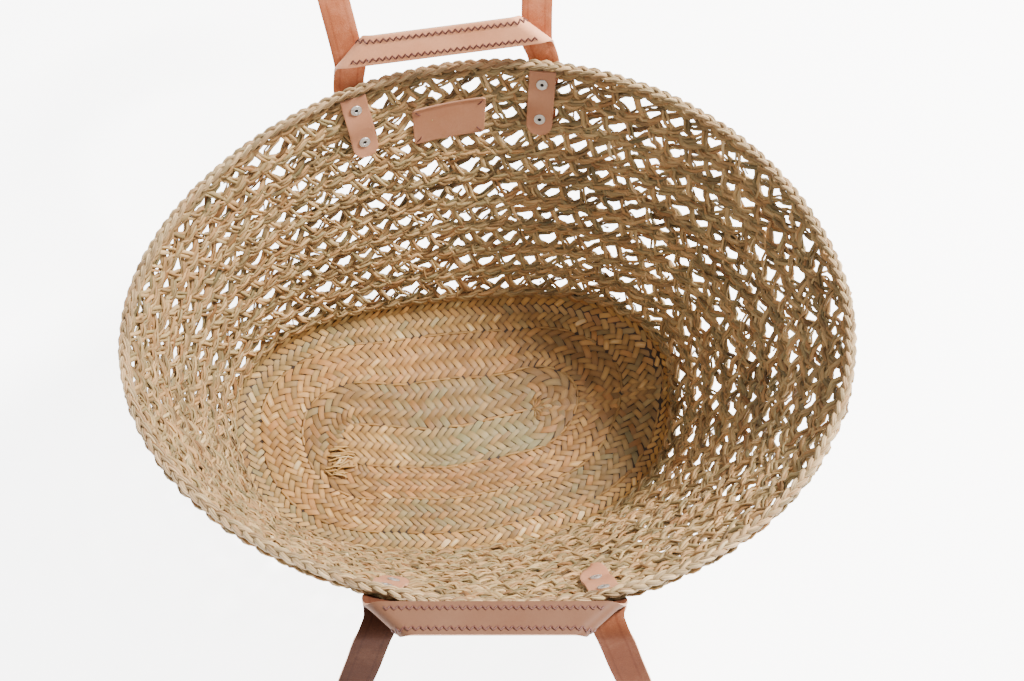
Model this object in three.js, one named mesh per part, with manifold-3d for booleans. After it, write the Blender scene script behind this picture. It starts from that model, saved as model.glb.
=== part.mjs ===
// A straw basket bag: a plaited oval base, a netted wall, a braided rim, two short leather handles,
// two long leather straps, four inner leather tabs, eight washer rivets and a bare leather label.
// Millimetres, +Z up, the basket's width along X, its far wall towards +Y.
// The origin is on the floor, in the middle of the base.

import * as THREE from "three";
import { mergeVertices } from "three/addons/utils/BufferGeometryUtils.js";
import Module from "manifold-3d";

const wasm = await Module();
wasm.setup();

// Driving sizes

const BASE_HALF_LENGTH = 198;
const BASE_HALF_WIDTH = 120;
const BASE_SQUARENESS = 2.5;
const BASE_THICKNESS = 3.5;
const MOUTH_HALF_LENGTH = 277;
const MOUTH_HALF_WIDTH = 227;
const MOUTH_SQUARENESS = 1.95;
const MOUTH_SHIFT_X = 36;
const MOUTH_SHIFT_Y = -7;
const MOUTH_HEIGHT = 246;
const EDGE_RISE = 14;
const EDGE_WIDTH = 24;
const WALL_THICKNESS = 4;
const RIM_WIDTH = 9;
const RIM_HEIGHT = 11;
const CLEARANCE = 0.3;

// Hand work is uneven. Each row is a wave round the outline: its turns, then its cosine and sine
// parts as shares of the outline's reach.
const BASE_WAVES = [
  [2, 0, 0.007],
  [3, -0.006, 0.029],
];
const MOUTH_WAVES = [
  [2, 0, -0.016],
  [3, -0.015, -0.009],
];

const NET_ROWS = 5;
const NET_COLUMNS = 24;
const NET_STEPS = 2;
const NET_HEM = 8;
const NET_STRAND = 18;

const HANDLE_CENTRE_X = 19;
const TAB_SPACING = 154;
const TAB_WIDTH = 22;
const TAB_LENGTH = 62;
const TAB_THICKNESS = 2;
const TAB_TOP_GAP = 2.5;
const RIVET_SPACING = 34;
const RIVET_TOP = 12;
const RIVET_SHANK = 1.8;
const RIVET_WASHER = 4.8;
const WASHER_THICKNESS = 1;
const WASHER_HOLE = 1.5;
const TAB_SEAT = 0.9;
const STRIP_SEAT = 0.4;
const LEATHER_GAP = 0.9;

const HANDLE_WIDTH = 26;
const HANDLE_THICKNESS = 2.2;
const HANDLE_CURL = 5;
const STRAP_WIDTH = 25;
const STRAP_THICKNESS = 2.4;
const STRAP_LOOP = 335;

// Each side's handle stands this far above the net's top edge, measured along the leather.
const HANDLE_STAND = { far: 40, near: 36 };

// Above the net's top edge the leather takes this length to leave the wall's own slope.
const SETTLE_LENGTH = 24;

// How the leather bends outwards after it has left the rim: the straight stretch above the net's
// top edge, the length of the bend and the angle that the bend turns through.
const HANDLE_BEND = {
  far: { straight: 16, length: 12, turn: 5 },
  near: { straight: 10, length: 16, turn: 46 },
};
const STRAP_BEND = {
  far: { straight: 6, length: 270, turn: 112 },
  near: { straight: 4, length: 44, turn: 134 },
};

// Half of a long strap's loop, laid flat: shares of half the tab spacing, and of the loop's height.
const STRAP_ROUTE = {
  far: [
    [1, 0], [1, 0.17], [1.06, 0.32], [1.16, 0.52], [1.18, 0.72], [0.92, 0.9], [0.45, 0.985], [0, 1],
  ],
  near: [
    [1, 0], [1, 0.14], [1.18, 0.3], [1.42, 0.5], [1.45, 0.7], [1.1, 0.89], [0.52, 0.98], [0, 1],
  ],
};
const STRAP_TWIST_FROM = 0.3;

const LABEL_WIDTH = 62;
const LABEL_HEIGHT = 36;
const LABEL_THICKNESS = 1.8;
const LABEL_CENTRE_X = 17;
const LABEL_DROP = 46;
const LABEL_TILT = 4;

// Counts of steps round and along the meshes.
const NET_ROUND = NET_COLUMNS * NET_STEPS;
const BASE_ROUND = 56;
const EDGE_STEPS = 3;
const RIM_ROUND = 60;
const RIM_SIDES = 8;
const RIVET_SIDES = 8;
const HANDLE_STEPS = 44;
const STRAP_STEPS = 60;
const LABEL_STEPS = 8;

// How much closer together a strap's steps are near its rivets, where it bends over the rim.
const STRAP_EASE = 0.45;

// Sizes that follow from the ones above

const NET_FOOT = EDGE_RISE + CLEARANCE;
const SIDES = { far: 1, near: -1 };
const ENDS = { left: -1, right: 1 };
const HALF_SPACING = TAB_SPACING / 2;
const RIVET_MIDDLE = TAB_TOP_GAP + RIVET_TOP + RIVET_SPACING / 2;
const TAB_BELOW = TAB_LENGTH + TAB_TOP_GAP - RIVET_MIDDLE;
const HANDLE_OFFSET = WALL_THICKNESS / 2 + STRIP_SEAT + HANDLE_THICKNESS / 2;
const STRAP_OFFSET = HANDLE_OFFSET + HANDLE_THICKNESS / 2 + LEATHER_GAP + STRAP_THICKNESS / 2;
const DEGREE = Math.PI / 180;

// Materials, as the photograph shows them

const colours = {
  straw: new THREE.MeshStandardMaterial({ color: 0xc09a6a, roughness: 0.75 }),
  braid: new THREE.MeshStandardMaterial({ color: 0xc9a77c, roughness: 0.7 }),
  leather: new THREE.MeshStandardMaterial({ color: 0xbf8463, roughness: 0.6 }),
  flesh: new THREE.MeshStandardMaterial({ color: 0xa86f4c, roughness: 0.85 }),
  steel: new THREE.MeshStandardMaterial({ color: 0xb8b6b0, roughness: 0.35, metalness: 1 }),
};

// Basket outlines

function outlinePoint(angle, halfLength, halfWidth, squareness, waves) {
  const across = Math.cos(angle);
  const along = Math.sin(angle);
  const sum = Math.abs(across) ** squareness + Math.abs(along) ** squareness;
  let reach = sum ** (-1 / squareness);
  for (const [turns, cosine, sine] of waves) {
    reach *= 1 + cosine * Math.cos(turns * angle) + sine * Math.sin(turns * angle);
  }
  return new THREE.Vector2(halfLength * reach * across, halfWidth * reach * along);
}

function basePoint(angle) {
  return outlinePoint(angle, BASE_HALF_LENGTH, BASE_HALF_WIDTH, BASE_SQUARENESS, BASE_WAVES);
}

function mouthPoint(angle) {
  const shift = new THREE.Vector2(MOUTH_SHIFT_X, MOUTH_SHIFT_Y);
  const mouth = outlinePoint(angle, MOUTH_HALF_LENGTH, MOUTH_HALF_WIDTH, MOUTH_SQUARENESS, MOUTH_WAVES);
  return mouth.add(shift);
}

function wallLevel(angle, share) {
  return basePoint(angle).lerp(mouthPoint(angle), share);
}

function levelNormal(angle, share) {
  const step = 1e-3;
  const run = wallLevel(angle + step, share).sub(wallLevel(angle - step, share)).normalize();
  return new THREE.Vector2(run.y, -run.x);
}

// A point of the netted wall: share 0 is its foot and 1 its top edge, offset is level and outwards.
function wallPoint(angle, share, offset = 0) {
  const level = wallLevel(angle, share).addScaledVector(levelNormal(angle, share), offset);
  return new THREE.Vector3(level.x, level.y, THREE.MathUtils.lerp(NET_FOOT, MOUTH_HEIGHT, share));
}

function slantLength(angle) {
  return wallPoint(angle, 0).distanceTo(wallPoint(angle, 1));
}

// The angle at which the far or near wall reaches a given x, found by halving.
function angleAt(x, side, share) {
  let right = 0;
  let left = Math.PI * side;
  for (let halving = 0; halving < 50; halving += 1) {
    const middle = (right + left) / 2;
    if (wallPoint(middle, share).x > x) right = middle;
    else left = middle;
  }
  return (right + left) / 2;
}

// The wall's own axes at a point: along the wall, up the wall, and straight out of it.
function wallFrame(x, side, drop) {
  let share = 1;
  let angle = 0;
  for (let pass = 0; pass < 4; pass += 1) {
    angle = angleAt(x, side, share);
    share = 1 - drop / slantLength(angle);
  }
  const step = 1e-3;
  const origin = wallPoint(angle, share);
  const along = wallPoint(angle + step, share).sub(wallPoint(angle - step, share)).normalize();
  const up = wallPoint(angle, share + step).sub(wallPoint(angle, share - step)).normalize();
  const out = along.clone().cross(up).normalize();
  up.copy(out).cross(along);
  return { origin, along, up, out, angle, share };
}

// Closed meshes from grids of points

function meshGeometry(points, triangles) {
  const geometry = new THREE.BufferGeometry().setFromPoints(points);
  geometry.setIndex(triangles.flat());
  geometry.computeVertexNormals();
  return geometry;
}

function quad(a, b, c, d) {
  return [[a, b, c], [a, c, d]];
}

// A band that closes on itself round the basket, from a section whose corners are in order.
function ringGeometry(steps, corners, pointAt) {
  const points = [];
  const triangles = [];
  for (let step = 0; step < steps; step += 1) {
    const angle = (2 * Math.PI * step) / steps;
    for (let corner = 0; corner < corners; corner += 1) points.push(pointAt(angle, corner));
  }
  for (let step = 0; step < steps; step += 1) {
    const here = step * corners;
    const next = ((step + 1) % steps) * corners;
    for (let corner = 0; corner < corners; corner += 1) {
      const after = (corner + 1) % corners;
      triangles.push(...quad(here + corner, next + corner, next + after, here + after));
    }
  }
  return meshGeometry(points, triangles);
}

// A sheet of even thickness from its middle surface, with four closed edges.
function sheetGeometry(middleAt, lengthSteps, widthSteps, thickness) {
  const points = [];
  const triangles = [];
  const small = 1e-4;
  const row = widthSteps + 1;
  const layer = (lengthSteps + 1) * row;
  for (const face of [1, -1]) {
    for (let i = 0; i <= lengthSteps; i += 1) {
      for (let j = 0; j <= widthSteps; j += 1) {
        const s = i / lengthSteps;
        const t = j / widthSteps;
        const alongS = middleAt(s + small, t).sub(middleAt(s - small, t));
        const alongT = middleAt(s, t + small).sub(middleAt(s, t - small));
        const normal = alongS.cross(alongT).normalize();
        points.push(middleAt(s, t).addScaledVector(normal, (face * thickness) / 2));
      }
    }
  }
  const at = (i, j, face) => face * layer + i * row + j;
  for (let i = 0; i < lengthSteps; i += 1) {
    for (let j = 0; j < widthSteps; j += 1) {
      triangles.push(...quad(at(i, j, 0), at(i + 1, j, 0), at(i + 1, j + 1, 0), at(i, j + 1, 0)));
      triangles.push(...quad(at(i, j, 1), at(i, j + 1, 1), at(i + 1, j + 1, 1), at(i + 1, j, 1)));
    }
    const last = widthSteps;
    triangles.push(...quad(at(i, 0, 0), at(i, 0, 1), at(i + 1, 0, 1), at(i + 1, 0, 0)));
    triangles.push(...quad(at(i, last, 0), at(i + 1, last, 0), at(i + 1, last, 1), at(i, last, 1)));
  }
  for (let j = 0; j < widthSteps; j += 1) {
    const last = lengthSteps;
    triangles.push(...quad(at(0, j, 0), at(0, j + 1, 0), at(0, j + 1, 1), at(0, j, 1)));
    triangles.push(...quad(at(last, j, 0), at(last, j, 1), at(last, j + 1, 1), at(last, j + 1, 0)));
  }
  return meshGeometry(points, triangles);
}

function toSolid(geometry) {
  const bare = geometry.clone();
  bare.deleteAttribute("normal");
  bare.deleteAttribute("uv");
  const merged = mergeVertices(bare, 1e-4);
  return new wasm.Manifold(
    new wasm.Mesh({
      numProp: 3,
      vertProperties: merged.attributes.position.array,
      triVerts: new Uint32Array(merged.index.array),
    }),
  );
}

function fromSolid(solid) {
  const mesh = solid.getMesh();
  const geometry = new THREE.BufferGeometry();
  geometry.setAttribute("position", new THREE.BufferAttribute(mesh.vertProperties, 3));
  geometry.setIndex(new THREE.BufferAttribute(mesh.triVerts, 1));
  geometry.computeVertexNormals();
  return geometry;
}

// Base: the plaited oval floor, and the outermost plait that turns up into the wall

function baseGeometry() {
  const shape = new THREE.Shape();
  const points = [];
  for (let step = 0; step < BASE_ROUND; step += 1) {
    const angle = (2 * Math.PI * step) / BASE_ROUND;
    const inset = -(EDGE_WIDTH + CLEARANCE);
    points.push(basePoint(angle).addScaledVector(levelNormal(angle, 0), inset));
  }
  shape.setFromPoints(points);
  return new THREE.ExtrudeGeometry(shape, { depth: BASE_THICKNESS, bevelEnabled: false });
}

// The turned-up plait's section, from its inner edge round to its top, as offsets from the outline.
function edgeSection() {
  const half = BASE_THICKNESS / 2;
  const bend = EDGE_RISE - half;
  const outside = [[-EDGE_WIDTH, 0]];
  const inside = [[-EDGE_WIDTH, BASE_THICKNESS]];
  for (let step = 0; step <= EDGE_STEPS; step += 1) {
    const turn = (step / EDGE_STEPS) * 90 * DEGREE;
    const across = -bend + bend * Math.sin(turn);
    const height = half + bend - bend * Math.cos(turn);
    outside.push([across + half * Math.sin(turn), height - half * Math.cos(turn)]);
    inside.push([across - half * Math.sin(turn), height + half * Math.cos(turn)]);
  }
  return [...outside, ...inside.reverse()];
}

function baseEdgeGeometry() {
  const section = edgeSection();
  return ringGeometry(BASE_ROUND, section.length, (angle, corner) => {
    const [offset, height] = section[corner];
    const level = basePoint(angle).addScaledVector(levelNormal(angle, 0), offset);
    return new THREE.Vector3(level.x, level.y, height);
  });
}

// Netted wall: rows of diamond gaps, each row half a gap further round than the one below.
// A block of the net stays whole where a tab is riveted through it.

function rowShare(row, slant) {
  const hem = NET_HEM / slant;
  return hem + ((1 - 2 * hem) * row) / NET_ROWS;
}

function blockIsRiveted(angle, low, high, frames) {
  const middle = wallPoint(angle, (low + high) / 2);
  const width = wallPoint(angle - Math.PI / NET_COLUMNS, high)
    .distanceTo(wallPoint(angle + Math.PI / NET_COLUMNS, high));
  return frames.some((frame) => {
    const away = middle.clone().sub(frame.origin);
    const beside = Math.abs(away.dot(frame.along)) < (width - NET_STRAND + TAB_WIDTH) / 2;
    const level = Math.abs(away.dot(frame.up)) < (RIVET_SPACING + NET_STRAND) / 2 + RIVET_WASHER;
    return beside && level;
  });
}

function netGeometry(frames) {
  const points = [];
  const triangles = [];
  const index = new Map();
  const halfWall = WALL_THICKNESS / 2;
  const slant = slantLength(0);

  const corner = (step, share, face) => {
    const wrapped = ((step % NET_ROUND) + NET_ROUND) % NET_ROUND;
    const key = `${wrapped.toFixed(4)} ${share.toFixed(6)} ${face}`;
    if (!index.has(key)) {
      index.set(key, points.length);
      points.push(wallPoint((2 * Math.PI * wrapped) / NET_ROUND, share, face * halfWall));
    }
    return index.get(key);
  };
  // A polygon given as (step, share) corners, on the outer and the inner face.
  const bothFaces = (...corners) => {
    for (let last = 2; last < corners.length; last += 1) {
      const outer = [corners[0], corners[last - 1], corners[last]].map((c) => corner(...c, 1));
      const inner = [corners[0], corners[last], corners[last - 1]].map((c) => corner(...c, -1));
      triangles.push(outer, inner);
    }
  };
  const between = (from, to) => {
    triangles.push(...quad(corner(...from, 1), corner(...to, 1), corner(...to, -1), corner(...from, -1)));
  };

  for (let step = 0; step < NET_ROUND; step += 1) {
    bothFaces([step, 0], [step + 1, 0], [step + 1, rowShare(0, slant)], [step, rowShare(0, slant)]);
    const top = rowShare(NET_ROWS, slant);
    bothFaces([step, top], [step + 1, top], [step + 1, 1], [step, 1]);
    between([step, 1], [step + 1, 1]);
    between([step + 1, 0], [step, 0]);
  }
  for (let row = 0; row < NET_ROWS; row += 1) {
    const low = rowShare(row, slant);
    const high = rowShare(row + 1, slant);
    for (let column = 0; column < NET_COLUMNS; column += 1) {
      const first = (column + (row % 2) / 2) * NET_STEPS;
      const centre = first + NET_STEPS / 2;
      const angle = (2 * Math.PI * centre) / NET_ROUND;
      if (blockIsRiveted(angle, low, high, frames)) {
        for (let step = first; step < first + NET_STEPS; step += 1) {
          bothFaces([step, low], [step + 1, low], [step + 1, high], [step, high]);
        }
        continue;
      }
      const turn = Math.PI / NET_COLUMNS;
      const middle = (low + high) / 2;
      const width = wallPoint(angle - turn, middle).distanceTo(wallPoint(angle + turn, middle));
      const sideways = (NET_STEPS / 2) * (1 - NET_STRAND / width);
      const upwards = ((high - low) / 2) * (1 - NET_STRAND / (slant * (high - low)));
      const left = [centre - sideways, middle];
      const right = [centre + sideways, middle];
      const bottom = [centre, middle - upwards];
      const top = [centre, middle + upwards];
      const last = first + NET_STEPS;
      bothFaces([first, low], [centre, low], bottom, left);
      bothFaces([centre, low], [last, low], right, bottom);
      bothFaces([last, low], [last, high], right);
      bothFaces([last, high], [centre, high], top, right);
      bothFaces([centre, high], [first, high], left, top);
      bothFaces([first, high], [first, low], left);
      between(top, left);
      between(right, top);
      between(bottom, right);
      between(left, bottom);
    }
  }
  return meshGeometry(points, triangles);
}

// Rim: a braid of oval section that sits on the net's top edge, flush with the wall's outside

function rimGeometry() {
  const inwards = (WALL_THICKNESS - RIM_WIDTH) / 2;
  return ringGeometry(RIM_ROUND, RIM_SIDES, (angle, corner) => {
    const turn = ((corner + 0.5) * 2 * Math.PI) / RIM_SIDES - Math.PI / 2;
    const flat = Math.cos(Math.PI / RIM_SIDES);
    const offset = inwards + ((RIM_WIDTH / 2) * Math.cos(turn)) / flat;
    const point = wallPoint(angle, 1, offset);
    point.z += CLEARANCE + RIM_HEIGHT / 2 + ((RIM_HEIGHT / 2) * Math.sin(turn)) / flat;
    return point;
  });
}

// Leather: a sheet mapped from where it lies on a side to its place in space

// One side's two riveted places and the axes that its handle and strap follow.
function sideFrame(side) {
  const left = wallFrame(HANDLE_CENTRE_X - HALF_SPACING, side, RIVET_MIDDLE);
  const right = wallFrame(HANDLE_CENTRE_X + HALF_SPACING, side, RIVET_MIDDLE);
  const middle = left.origin.clone().add(right.origin).multiplyScalar(0.5);
  const across = right.origin.clone().sub(left.origin).normalize();
  const out = new THREE.Vector3(0, 0, 1).cross(across).multiplyScalar(side).normalize();
  const rise = left.up.clone().add(right.up);
  const lean = Math.atan2(rise.dot(out), rise.z);
  return { side, left, right, middle, across, out, lean };
}

// Walks up a strip that runs straight, bends outwards and runs straight again.
function walk(height, lean, straight, length, turn) {
  const angle = turn * DEGREE;
  const radius = length / angle;
  const bent = THREE.MathUtils.clamp((height - straight) / length, 0, 1) * angle;
  const before = Math.min(height, straight);
  const after = Math.max(height - straight - length, 0);
  const out =
    before * Math.sin(lean) +
    radius * (Math.cos(lean) - Math.cos(lean + bent)) +
    after * Math.sin(lean + bent);
  const up =
    before * Math.cos(lean) +
    radius * (Math.sin(lean + bent) - Math.sin(lean)) +
    after * Math.cos(lean + bent);
  return { out, up, lean: lean + bent };
}

// A point of the leather at x across the side, at a height along it and at a depth inwards from it.
function drape(frame, bend, x, height, depth) {
  const { straight, length, turn } = bend;
  const place = walk(height, frame.lean, RIVET_MIDDLE + straight, length, turn);
  const out = place.out - depth * Math.cos(place.lean);
  const up = place.up + depth * Math.sin(place.lean);
  return frame.middle.clone()
    .addScaledVector(frame.across, x)
    .addScaledVector(frame.out, out)
    .add(new THREE.Vector3(0, 0, up));
}

// A point of the stretch that lies flat against the wall, at one end of a side.
function onWall(place, end, side, beside, height, offset) {
  return place.origin.clone()
    .addScaledVector(place.along, -side * beside * end)
    .addScaledVector(place.up, height)
    .addScaledVector(place.out, offset);
}

// Past the rim the leather leaves the wall's own slope and follows the side's common one.
function settle(height) {
  return THREE.MathUtils.smoothstep(height, RIVET_MIDDLE, RIVET_MIDDLE + SETTLE_LENGTH);
}

// A short handle: each end rises from its rivets and turns over a diagonal curl into the level band.
function handleMiddle(frame, name) {
  const stand = RIVET_MIDDLE + HANDLE_STAND[name];
  const root2 = Math.SQRT2;
  const shift = (Math.PI * HANDLE_CURL) / root2;
  const turnAt = HALF_SPACING - shift;
  const half = turnAt + shift + stand + TAB_BELOW;
  return (s, t) => {
    const signed = (2 * s - 1) * half;
    const end = signed < 0 ? -1 : 1;
    const along = Math.abs(signed);
    const beside = (t - 0.5) * HANDLE_WIDTH;
    const past = (along - turnAt + beside) / root2;
    const line = (along - turnAt - beside) / root2;
    let ahead = past;
    let depth = 2 * HANDLE_CURL;
    if (past > 0) {
      const turn = Math.min(past / HANDLE_CURL, Math.PI);
      ahead = HANDLE_CURL * Math.sin(turn) - Math.max(past - Math.PI * HANDLE_CURL, 0);
      depth = HANDLE_CURL * (1 + Math.cos(turn));
    }
    const x = turnAt + (line + ahead) / root2;
    const height = stand + (ahead - line) / root2;
    const free = drape(frame, HANDLE_BEND[name], end * x, height, depth - HANDLE_OFFSET);
    const place = end < 0 ? frame.left : frame.right;
    const flat = onWall(place, end, frame.side, x - HALF_SPACING, height, HANDLE_OFFSET - depth);
    return flat.lerp(free, settle(height));
  };
}

// A long strap: a loop that lies flat on the wall at both ends and turns edgeways at its far end.
function strapMiddle(frame, name) {
  const route = STRAP_ROUTE[name].map(([x, height]) => {
    return new THREE.Vector3(x * HALF_SPACING, height * STRAP_LOOP, 0);
  });
  const down = new THREE.Vector3(HALF_SPACING, -TAB_BELOW, 0);
  const back = route.slice(0, -1).reverse().map((p) => new THREE.Vector3(-p.x, p.y, 0));
  const start = new THREE.Vector3(-down.x, down.y, 0);
  const curve = new THREE.CatmullRomCurve3([down, ...route, ...back, start], false, "centripetal");
  curve.arcLengthDivisions = 400;
  const spaced = (s) => s - (STRAP_EASE * Math.sin(2 * Math.PI * s)) / (2 * Math.PI);
  return (s, t) => {
    const wanted = spaced(s);
    const at = THREE.MathUtils.clamp(wanted, 0, 1);
    const point = curve.getPointAt(at);
    const run = curve.getTangentAt(at);
    point.addScaledVector(run, (wanted - at) * curve.getLength());
    const end = at < 0.5 ? 1 : -1;
    const toEnd = Math.min(at, 1 - at) * 2;
    const twist = THREE.MathUtils.smoothstep(toEnd, STRAP_TWIST_FROM, 1) * 90 * DEGREE;
    const beside = (t - 0.5) * STRAP_WIDTH;
    const level = beside * Math.cos(twist);
    const x = point.x + run.y * level;
    const height = point.y - run.x * level;
    const depth = beside * Math.sin(twist);
    const free = drape(frame, STRAP_BEND[name], x, height, depth - STRAP_OFFSET);
    const place = end < 0 ? frame.left : frame.right;
    const flat = onWall(place, end, frame.side, end * x - HALF_SPACING, height, STRAP_OFFSET);
    return flat.lerp(free, settle(height));
  };
}

// Tabs, rivets and label

function tabGeometry() {
  const half = TAB_WIDTH / 2;
  const top = RIVET_MIDDLE - TAB_TOP_GAP;
  const shape = new THREE.Shape();
  shape.moveTo(-half, top);
  shape.lineTo(-half, half - TAB_BELOW);
  shape.absarc(0, half - TAB_BELOW, half, Math.PI, 2 * Math.PI, false);
  shape.lineTo(half, top);
  shape.closePath();
  return new THREE.ExtrudeGeometry(shape, { depth: TAB_THICKNESS, bevelEnabled: false, curveSegments: 8 });
}

function rivetHeights() {
  return [RIVET_SPACING / 2, -RIVET_SPACING / 2];
}

// A rivet on its own axis, from the washer's face inside the basket to the head's face outside.
function rivetGeometry(inside, outside) {
  const washer = inside - CLEARANCE;
  const face = washer - WASHER_THICKNESS;
  const head = outside + CLEARANCE;
  const profile = [
    [0, washer - WASHER_THICKNESS / 2],
    [WASHER_HOLE, washer - WASHER_THICKNESS / 2],
    [WASHER_HOLE, face],
    [RIVET_WASHER, face],
    [RIVET_WASHER, washer],
    [RIVET_SHANK, washer],
    [RIVET_SHANK, head],
    [RIVET_WASHER, head],
    [RIVET_WASHER - WASHER_THICKNESS, head + WASHER_THICKNESS],
    [0, head + WASHER_THICKNESS],
  ];
  const outline = profile.map(([radius, height]) => new THREE.Vector2(radius, height));
  return new THREE.LatheGeometry(outline, RIVET_SIDES);
}

function labelMiddle() {
  const frame = wallFrame(LABEL_CENTRE_X, SIDES.far, LABEL_DROP);
  const slant = slantLength(frame.angle);
  const speed = wallPoint(frame.angle + 1e-3, frame.share).distanceTo(frame.origin) / 1e-3;
  const tilt = LABEL_TILT * DEGREE;
  const inwards = -(WALL_THICKNESS / 2 + TAB_SEAT + LABEL_THICKNESS / 2);
  return (s, t) => {
    const right = (s - 0.5) * LABEL_WIDTH;
    const up = (t - 0.5) * LABEL_HEIGHT;
    const across = right * Math.cos(tilt) - up * Math.sin(tilt);
    const rise = right * Math.sin(tilt) + up * Math.cos(tilt);
    return wallPoint(frame.angle - across / speed, frame.share + rise / slant, inwards);
  };
}

// Turns a flat piece made in the wall's own axes into place.
function placed(mesh, frame, outwards) {
  const basis = new THREE.Matrix4().makeBasis(frame.along, frame.up, frame.out);
  mesh.quaternion.setFromRotationMatrix(basis);
  mesh.position.copy(frame.origin).addScaledVector(frame.out, outwards);
  return mesh;
}

// The hole that a rivet's shank passes through, in every layer that it joins.
function rivetBores(frame) {
  const depth = 60;
  return rivetHeights().map((height) => {
    const bore = new THREE.CylinderGeometry(
      RIVET_SHANK + CLEARANCE, RIVET_SHANK + CLEARANCE, depth, RIVET_SIDES);
    bore.rotateX(Math.PI / 2);
    bore.translate(0, height, 0);
    const basis = new THREE.Matrix4().makeBasis(frame.along, frame.up, frame.out);
    basis.setPosition(frame.origin);
    bore.applyMatrix4(basis);
    return toSolid(bore);
  });
}

function bored(geometry, bores) {
  let solid = toSolid(geometry);
  for (const bore of bores) solid = solid.subtract(bore);
  return fromSolid(solid);
}

// Assembly

function named(name, geometry, material) {
  const mesh = new THREE.Mesh(geometry, material.clone());
  mesh.name = name;
  return mesh;
}

const bag = new THREE.Group();
const sides = Object.entries(SIDES).map(([name, side]) => ({ name, frame: sideFrame(side) }));
const places = sides.flatMap(({ frame }) => [frame.left, frame.right]);
const allBores = places.flatMap((place) => rivetBores(place));

bag.add(named("base", baseGeometry(), colours.straw));
bag.add(named("base_edge", baseEdgeGeometry(), colours.straw));
bag.add(named("net_wall", bored(netGeometry(places), allBores), colours.straw));
bag.add(named("rim", rimGeometry(), colours.braid));
bag.add(named("label", sheetGeometry(labelMiddle(), LABEL_STEPS, 1, LABEL_THICKNESS), colours.leather));

for (const { name, frame } of sides) {
  const sideBores = [frame.left, frame.right].flatMap((place) => rivetBores(place));
  const handle = sheetGeometry(handleMiddle(frame, name), HANDLE_STEPS, 3, HANDLE_THICKNESS);
  bag.add(named(`handle_${name}`, bored(handle, sideBores), colours.leather));
  const strap = sheetGeometry(strapMiddle(frame, name), STRAP_STEPS, 1, STRAP_THICKNESS);
  bag.add(named(`strap_${name}`, bored(strap, sideBores), colours.flesh));
  for (const end of Object.keys(ENDS)) {
    const place = frame[end];
    const inner = -(WALL_THICKNESS / 2 + TAB_SEAT + TAB_THICKNESS);
    const tab = placed(named(`tab_${name}_${end}`, tabGeometry(), colours.leather), place, inner);
    tab.updateMatrix();
    const world = tab.geometry.clone().applyMatrix4(tab.matrix);
    const cut = bored(world, rivetBores(place)).applyMatrix4(tab.matrix.clone().invert());
    tab.geometry = cut;
    bag.add(tab);
    rivetHeights().forEach((height, number) => {
      const outer = STRAP_OFFSET + STRAP_THICKNESS / 2;
      const rivet = named(`rivet_${name}_${end}_${number + 1}`, rivetGeometry(inner, outer), colours.steel);
      rivet.geometry.rotateX(Math.PI / 2);
      rivet.geometry.translate(0, height, 0);
      bag.add(placed(rivet, place, 0));
    });
  }
}

export default bag;
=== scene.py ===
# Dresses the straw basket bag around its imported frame: the plaited base, the netted wall, the
# braided rim, the short leather handles, the long straps, the inner tabs, the rivets and the label.
# Metres, +Z up, the basket's width along X, its far wall towards +Y.

import math

import bmesh
import bpy
import numpy as np
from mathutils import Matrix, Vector


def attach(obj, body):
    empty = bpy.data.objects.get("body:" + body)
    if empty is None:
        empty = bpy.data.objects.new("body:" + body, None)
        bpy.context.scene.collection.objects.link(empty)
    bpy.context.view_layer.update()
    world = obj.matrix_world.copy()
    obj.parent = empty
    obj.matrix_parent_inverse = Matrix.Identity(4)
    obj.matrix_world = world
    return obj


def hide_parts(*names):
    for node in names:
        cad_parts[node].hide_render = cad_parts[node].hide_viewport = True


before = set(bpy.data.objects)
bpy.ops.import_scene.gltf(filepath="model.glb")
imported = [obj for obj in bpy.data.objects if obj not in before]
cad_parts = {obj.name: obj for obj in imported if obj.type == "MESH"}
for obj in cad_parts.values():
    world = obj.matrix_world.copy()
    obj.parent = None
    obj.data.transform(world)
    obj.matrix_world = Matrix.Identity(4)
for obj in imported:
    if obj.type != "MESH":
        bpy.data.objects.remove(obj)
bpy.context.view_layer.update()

bl_info = {
    "name": "Straw basket bag",
    "version": (1, 0, 0),
    "blender": (4, 5, 0),
    "location": "3D View > Sidebar > Basket",
    "description": "Makes the plaited, netted and leather pieces of a straw basket bag",
    "category": "Object",
}

MM = 0.001

# Outlines and heights of the basket, as its solids have them
BASE_HALF_LENGTH = 198 * MM
BASE_HALF_WIDTH = 120 * MM
BASE_SQUARENESS = 2.5
BASE_WAVES = [(2, 0, 0.007), (3, -0.006, 0.029)]
BASE_THICKNESS = 3.5 * MM
MOUTH_HALF_LENGTH = 277 * MM
MOUTH_HALF_WIDTH = 227 * MM
MOUTH_SQUARENESS = 1.95
MOUTH_WAVES = [(2, 0, -0.016), (3, -0.015, -0.009)]
MOUTH_SHIFT = np.array([36, -7]) * MM
MOUTH_HEIGHT = 246 * MM
EDGE_RISE = 14 * MM
WALL_THICKNESS = 4 * MM
RIM_WIDTH = 9 * MM
RIM_HEIGHT = 11 * MM
CLEARANCE = 0.3 * MM
NET_FOOT = EDGE_RISE + CLEARANCE

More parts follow.
